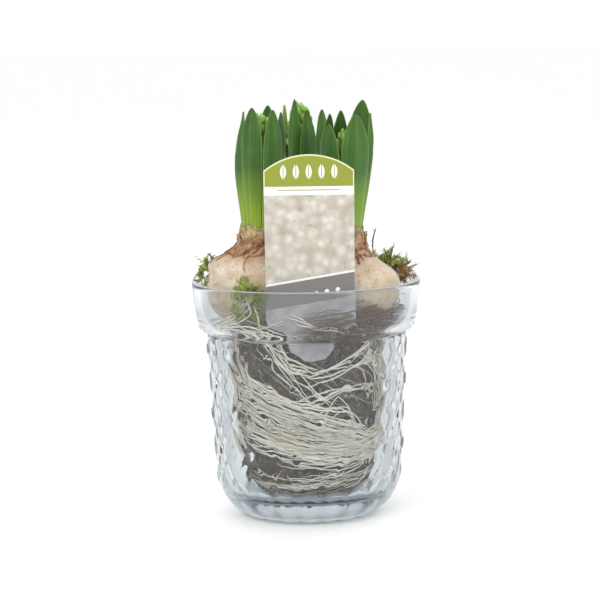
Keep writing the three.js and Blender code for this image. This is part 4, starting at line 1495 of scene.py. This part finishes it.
def build_flower(plant, settings, material):
    """The stalk and head of buds of one plant"""
    node = "flower_" + plant["name"]
    low = node_box(node)[1][2] - HEAD_LENGTH - 3
    core = [(3.1, SOCKET_FLOOR), (3, low - 6), (3.4, low), (4, low + 12), (3, low + 20), (1, low + 25)]
    rings, flows = [], []
    for radius, z in core:
        rings.append([around(radius, angle, z, plant_axis(plant, z)) for angle in turns(STALK_SIDES)])
        flows += [around(1, angle, 0.6) for angle in turns(STALK_SIDES)]
    points, faces = closed_skin(rings)
    stalk = add_mesh("stalk", points, faces, material)
    store(stalk, "flow", flows + [(0, 0, 0.6)] * 2)
    store(stalk, "tone", [0.4] * len(points))
    foot = np.array((*plant_axis(plant, low), low)) * MM
    crest = np.array((*plant_axis(plant, low + HEAD_LENGTH), low)) * MM
    bud = bud_mesh()
    head = add_mesh("head", [(0, 0, 0)], [])
    add_modifier_tree(head, spike_tree(), {
        "Bud": bud, "Count": settings.buds, "Length": (HEAD_LENGTH - 2) * MM,
        "Radius": HEAD_RADIUS * MM,
        "Foot": foot.tolist(), "Drift": (crest - foot).tolist(), "Seed": plant["seed"], "Material": material})
    apply_all(head)
    remove(bud)
    return finish_piece(join_meshes("flower_head_" + plant["name"], [stalk, head]), "bud", node)


def sprig_mesh(length, leaflets, width, bend):
    """A sprig of moss standing on the origin: a bent stem with small pointed leaflets all round"""
    points, faces = [], []

    def spine(along):
        return Vector((bend * length * along ** 2, 0, length * along * (1 - 0.25 * bend * along)))

    for along in (0, 0.5, 1):
        thin = 0.09 * (1 - 0.7 * along)
        points += [tuple(spine(along) + Vector(around(thin, turn, 0))) for turn in turns(3)]
    faces += [*ring_faces(3, 3), (6, 7, 8)]
    for i in range(leaflets):
        along = 0.1 + 0.9 * (i + 0.5) / leaflets
        turn = i * GOLDEN_TURN
        size = width * (1 - 0.55 * along)
        out = Vector(around(1, turn, 0.75)) * size
        side = Vector((-math.sin(turn), math.cos(turn), 0)) * size * 0.2
        foot = spine(along)
        middle = foot + out * 0.45
        first = len(points)
        lifted = middle - side + Vector((0, 0, 0.1))
        points += [tuple(point) for point in (foot, middle + side, foot + out, lifted)]
        faces += [(first, first + 1, first + 2), (first, first + 2, first + 3)]
    return add_mesh("sprig", points, faces)


def keep_inside_glass(piece):
    """Bends what would pass through the glass back along its inside"""
    mesh = piece.data
    places = np.empty(len(mesh.vertices) * 3)
    mesh.vertices.foreach_get("co", places)
    places = places.reshape(-1, 3) / MM
    levels = np.linspace(SOIL_TOP - 6, POT_HEIGHT + 2, 60)
    limit = np.interp(places[:, 2], levels, [inner_radius(level) - GLASS_GAP for level in levels])
    limit = np.where(places[:, 2] > POT_HEIGHT + 0.4, RIM_RADIUS + MOSS_OVERHANG, limit)
    reach = np.hypot(places[:, 0], places[:, 1])
    places[:, :2] *= np.minimum(1, limit / np.maximum(reach, 1e-6))[:, None]
    mesh.vertices.foreach_set("co", (places * MM).ravel())
    mesh.update()


def moss_pad(node, lift, climb, reach):
    """A copy of a packed wad of moss, lifted, with its inner end drawn up and in along the bulb"""
    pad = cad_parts[node].copy()
    pad.data = pad.data.copy()
    sides = [abs(vertex.co.x) for vertex in pad.data.vertices]
    for vertex, side in zip(pad.data.vertices, sides):
        inner = (max(sides) - side) / (max(sides) - min(sides))
        vertex.co.x -= math.copysign(reach * inner * MM, vertex.co.x)
        vertex.co.z += (lift + climb * inner) * MM
    link(pad)
    pad.hide_render = pad.hide_viewport = False
    pad.modifiers.new("Weld", "WELD").merge_threshold = 1e-5
    return apply_all(pad)


def build_moss(settings):
    """Sprigs and fronds all over a copy of each packed wad"""
    material = moss_material(settings)
    size = settings.sprig / MM
    copies = [sprig_mesh(size * length, leaflets, size * width, bend)
              for length, leaflets, width, bend in MOSS_COPIES]
    for number, (node, (*densities, lift, climb, reach)) in enumerate(WADS.items()):
        pad = moss_pad(node, lift, climb, reach)
        layers = []
        for copy, density, seed in zip(copies, densities, (number, number + 20)):
            layer = link(pad.copy())
            add_modifier_tree(layer, scatter_tree(), {
                "Copy": copy, "Density": float(density), "Smallest": 0.55, "Largest": 1.15, "Lean": 0.9,
                "Seed": seed, "Material": material})
            layers.append(apply_all(layer))
        remove(pad)
        piece = join_meshes("moss_sprigs_" + node.removeprefix("moss_"), layers)
        # The copy's own notes of its node don't belong to the new piece
        for key in list(piece.keys()):
            del piece[key]
        keep_inside_glass(piece)
        finish_piece(piece, "moss", node)
    for copy in copies:
        remove(copy)


def build_twigs(settings):
    """Thin dry stems that stand out of the moss, with a few scales"""
    draw = random.Random(TWIG_SEED)
    paths = []
    for points in TWIGS:
        path = bent(*points, np.linspace(0, 1, TWIG_POINTS))
        paths.append((path, TWIG_RADIUS, draw.random()))
        for i in range(TWIG_SCALES):
            base = np.array(path[int((0.35 + 0.13 * i) * (TWIG_POINTS - 1))])
            tip = base + around(SCALE_REACH, draw.random() * TURN, 1.6)
            middle = mix(base, tip, 0.5) + (0, 0, 0.2)
            paths.append(([tuple(base), tuple(middle), tuple(tip)], SCALE_RADIUS, 0.5))
    return finish_piece(make_strands("dry_twigs", paths, twig_material(settings), 6), "moss")


def label_outline():
    """The label's outline from the left of its waist, counter-clockwise, as in the source"""
    half, low, stake = (LABEL[key] / 2 for key in ("width", "low_width", "stake_width"))
    waist, stake_top, arch = LABEL["waist"], LABEL["stake_top"], label_arch()
    sweep = math.asin(half / arch)
    steps = np.linspace(0, 1, 9)[1:]
    outline = [(-low, waist)]
    outline += bent((-low, waist), (-low, waist - 5), (-low + 5, waist - 7), steps)
    outline += bent(outline[-1], (-stake, stake_top + 3), (-stake, stake_top), steps)
    outline += [(stake * math.cos(a), stake_top + (stake_top - LABEL["tip"]) * math.sin(a))
                for a in np.linspace(math.pi, TURN, 25)[1:]]
    outline += bent((stake, stake_top), (stake, stake_top + 3), (low - 5, waist - 7), steps)
    outline += bent(outline[-1], (low, waist - 5), (low, waist), steps)
    outline += [(arch * math.sin(a), LABEL["top"] - arch + arch * math.cos(a))
                for a in np.linspace(sweep, -sweep, 33)]
    return outline


def build_label(settings):
    """A flat card with a small bevel all round, leaning back a little"""
    outline = np.array(label_outline())
    inward = np.array((0, (LABEL["top"] + LABEL["tip"]) / 2)) - outline
    inward /= np.hypot(*inward.T)[:, None]
    bevel, half = LABEL["bevel"], LABEL["thickness"] / 2
    place = Matrix.Translation((LABEL["x"], LABEL["y"], LABEL["tip"]))
    place @= Matrix.Rotation(math.radians(LABEL["tilt"]), 4, "Y")
    place @= Matrix.Rotation(-math.radians(LABEL["lean"]), 4, "X")
    points, flows = [], []
    edges = [(bevel, half, 0), (0, half - bevel, 0), (0, bevel - half, 0), (bevel, -half, 1)]
    for shrink, depth, front in edges:
        ring = outline + inward * shrink
        points += [tuple(place @ Vector((x, depth, z - LABEL["tip"]))) for x, z in ring]
        flows += [(x, front, z) for x, z in ring]
    count = len(outline)
    faces = [*ring_faces(4, count), tuple(range(count))[::-1], tuple(range(3 * count, 4 * count))]
    piece = add_mesh("plant_label", points, faces, label_material(settings))
    store(piece, "flow", flows)
    piece.data.shade_flat()
    return finish_piece(piece, "label", "label")


def add_to_scene(name, data, place, aim):
    """A lamp or a camera at a place, turned by its aim"""
    thing = link(bpy.data.objects.new(name, data))
    thing.location = place
    thing.rotation_euler = aim.to_euler()
    return thing


def look(place, target):
    """The turn that points a lamp or a camera from a place to a target"""
    return (Vector(target) - Vector(place)).to_track_quat("-Z", "Y")


def add_lamp(name, place, size, power, colour):
    """A soft rectangular lamp that faces the planting"""
    lamp = bpy.data.lights.new(name, "AREA")
    lamp.shape = "RECTANGLE"
    lamp.size, lamp.size_y = size
    lamp.energy = power
    lamp.color = colour
    add_to_scene(name, lamp, place, look(place, LAMP_TARGET))


def add_world(settings):
    """Soft light from all round: white behind and above, and a little greyer at the sides"""
    world = bpy.data.worlds.new("Studio")
    world.use_nodes = True
    bpy.context.scene.world = world
    wiring = Wiring(world.node_tree)
    background = world.node_tree.nodes["Background"]
    x, y, z = wiring.parts(wiring.add("ShaderNodeTexCoord").outputs["Generated"])
    sides = wiring.stretch(wiring.math("ABSOLUTE", x), 0.25, 0.8, 1.0, 0.66)
    level = wiring.times(sides, wiring.stretch(y, 0.1, -0.8, 1.0, 0.8), wiring.stretch(z, 0.3, 0.9, 1.0, 1.4))
    level = wiring.most(level, wiring.add("ShaderNodeLightPath").outputs["Is Camera Ray"])
    wiring.feed(background.inputs["Color"], wiring.blend(level, (0, 0, 0, 1), (1, 1, 1, 1)))
    background.inputs["Strength"].default_value = settings.sky


def build_stage(settings):
    """Wide pale floor, soft lights and the camera"""
    corners = [(x * FLOOR_REACH, y * FLOOR_REACH, 0) for x, y in ((-1, -1), (1, -1), (1, 1), (-1, 1))]
    add_mesh("studio_floor", corners, [(0, 1, 2, 3)], floor_material(settings))
    add_world(settings)
    for name, (place, size, share, colour) in LAMPS.items():
        add_lamp(name, place, size, settings.key * share, colour)
    lens = bpy.data.cameras.new("photo_view")
    lens.sensor_width = SENSOR
    lens.lens = CAMERA["focal"] / PHOTO_SIZE * SENSOR
    lens.shift_x = (PHOTO_SIZE / 2 - CAMERA["middle"][0]) / PHOTO_SIZE
    lens.shift_y = (CAMERA["middle"][1] - PHOTO_SIZE / 2) / PHOTO_SIZE
    rise = math.radians(CAMERA["elevation"])
    target = Vector((0, 0, CAMERA["target"])) * MM
    place = target + Vector((0, -math.cos(rise), math.sin(rise))) * CAMERA["distance"] * MM
    roll = Matrix.Rotation(-math.radians(CAMERA["roll"]), 4, "Z")
    camera = add_to_scene("photo_view", lens, place, look(place, target).to_matrix().to_4x4() @ roll)
    bpy.context.scene.camera = camera
    bpy.context.scene.view_settings.view_transform = "Standard"


class HYACINTH_OT_stage(bpy.types.Operator):
    """Add the floor, the lights and the camera"""
    bl_idname = "hyacinth.stage"
    bl_label = "Stage"

    def execute(self, context):
        build_stage(context.scene.hyacinth_stage)
        return {"FINISHED"}


class HYACINTH_OT_glass_pot(bpy.types.Operator):
    """Add the pressed glass pot"""
    bl_idname = "hyacinth.glass_pot"
    bl_label = "Glass Pot"

    def execute(self, context):
        build_glass_pot(context.scene.hyacinth_glass)
        return {"FINISHED"}


class HYACINTH_OT_root_ball(bpy.types.Operator):
    """Add the root ball of peat"""
    bl_idname = "hyacinth.root_ball"
    bl_label = "Root Ball"

    def execute(self, context):
        build_soil(context.scene.hyacinth_ground)
        return {"FINISHED"}


class HYACINTH_OT_roots(bpy.types.Operator):
    """Add the strands of root on the root ball"""
    bl_idname = "hyacinth.roots"
    bl_label = "Roots"

    def execute(self, context):
        build_roots(context.scene.hyacinth_ground)
        return {"FINISHED"}


class HYACINTH_OT_bulbs(bpy.types.Operator):
    """Add the bulbs with their torn papery skins"""
    bl_idname = "hyacinth.bulbs"
    bl_label = "Bulbs"

    def execute(self, context):
        settings = context.scene.hyacinth_bulb
        scale, skin = bulb_material(settings), skin_material(settings)
        for plant in PLANTS:
            build_bulb(plant, scale)
            build_skins(plant, settings, skin)
        return {"FINISHED"}


class HYACINTH_OT_leaves(bpy.types.Operator):
    """Add the leaves of each plant"""
    bl_idname = "hyacinth.leaves"
    bl_label = "Leaves"

    def execute(self, context):
        settings = context.scene.hyacinth_leaf
        material = leaf_material(settings)
        for plant in PLANTS:
            for number, leaf in enumerate(plant["leaves"], 1):
                build_leaf(plant, number, leaf, settings, material)
        return {"FINISHED"}


class HYACINTH_OT_flowers(bpy.types.Operator):
    """Add the heads of green buds"""
    bl_idname = "hyacinth.flowers"
    bl_label = "Flower Heads"

    def execute(self, context):
        settings = context.scene.hyacinth_leaf
        material = bud_material(settings)
        for plant in PLANTS:
            build_flower(plant, settings, material)
        return {"FINISHED"}


class HYACINTH_OT_moss(bpy.types.Operator):
    """Add the moss and the dry twigs in it"""
    bl_idname = "hyacinth.moss"
    bl_label = "Moss"

    def execute(self, context):
        build_moss(context.scene.hyacinth_moss)
        build_twigs(context.scene.hyacinth_moss)
        return {"FINISHED"}


class HYACINTH_OT_label(bpy.types.Operator):
    """Add the plant label"""
    bl_idname = "hyacinth.label"
    bl_label = "Label"

    def execute(self, context):
        build_label(context.scene.hyacinth_label)
        return {"FINISHED"}


OPERATORS = [
    HYACINTH_OT_stage, HYACINTH_OT_glass_pot, HYACINTH_OT_root_ball, HYACINTH_OT_roots, HYACINTH_OT_bulbs,
    HYACINTH_OT_leaves, HYACINTH_OT_flowers, HYACINTH_OT_moss, HYACINTH_OT_label,
]


class HYACINTH_PT_panel(bpy.types.Panel):
    """Sizes, colours and the operators that make each piece"""
    bl_label = "Hyacinths"
    bl_space_type = "VIEW_3D"
    bl_region_type = "UI"
    bl_category = "Hyacinths"

    def draw(self, context):
        for name, kind in SETTINGS.items():
            settings = getattr(context.scene, name)
            box = self.layout.box()
            box.label(text=kind.__doc__)
            for key in kind.__annotations__:
                box.prop(settings, key)
        for operator in OPERATORS:
            self.layout.operator(operator.bl_idname)


def register():
    for kind in (*SETTINGS.values(), *OPERATORS, HYACINTH_PT_panel):
        bpy.utils.register_class(kind)
    for name, kind in SETTINGS.items():
        setattr(bpy.types.Scene, name, PointerProperty(type=kind))


def unregister():
    for name in SETTINGS:
        delattr(bpy.types.Scene, name)
    for kind in (HYACINTH_PT_panel, *reversed(OPERATORS), *reversed(SETTINGS.values())):
        bpy.utils.unregister_class(kind)


def main():
    register()
    for operator in OPERATORS:
        group, name = operator.bl_idname.split(".")
        getattr(getattr(bpy.ops, group), name)()


if __name__ == "__main__":
    main()
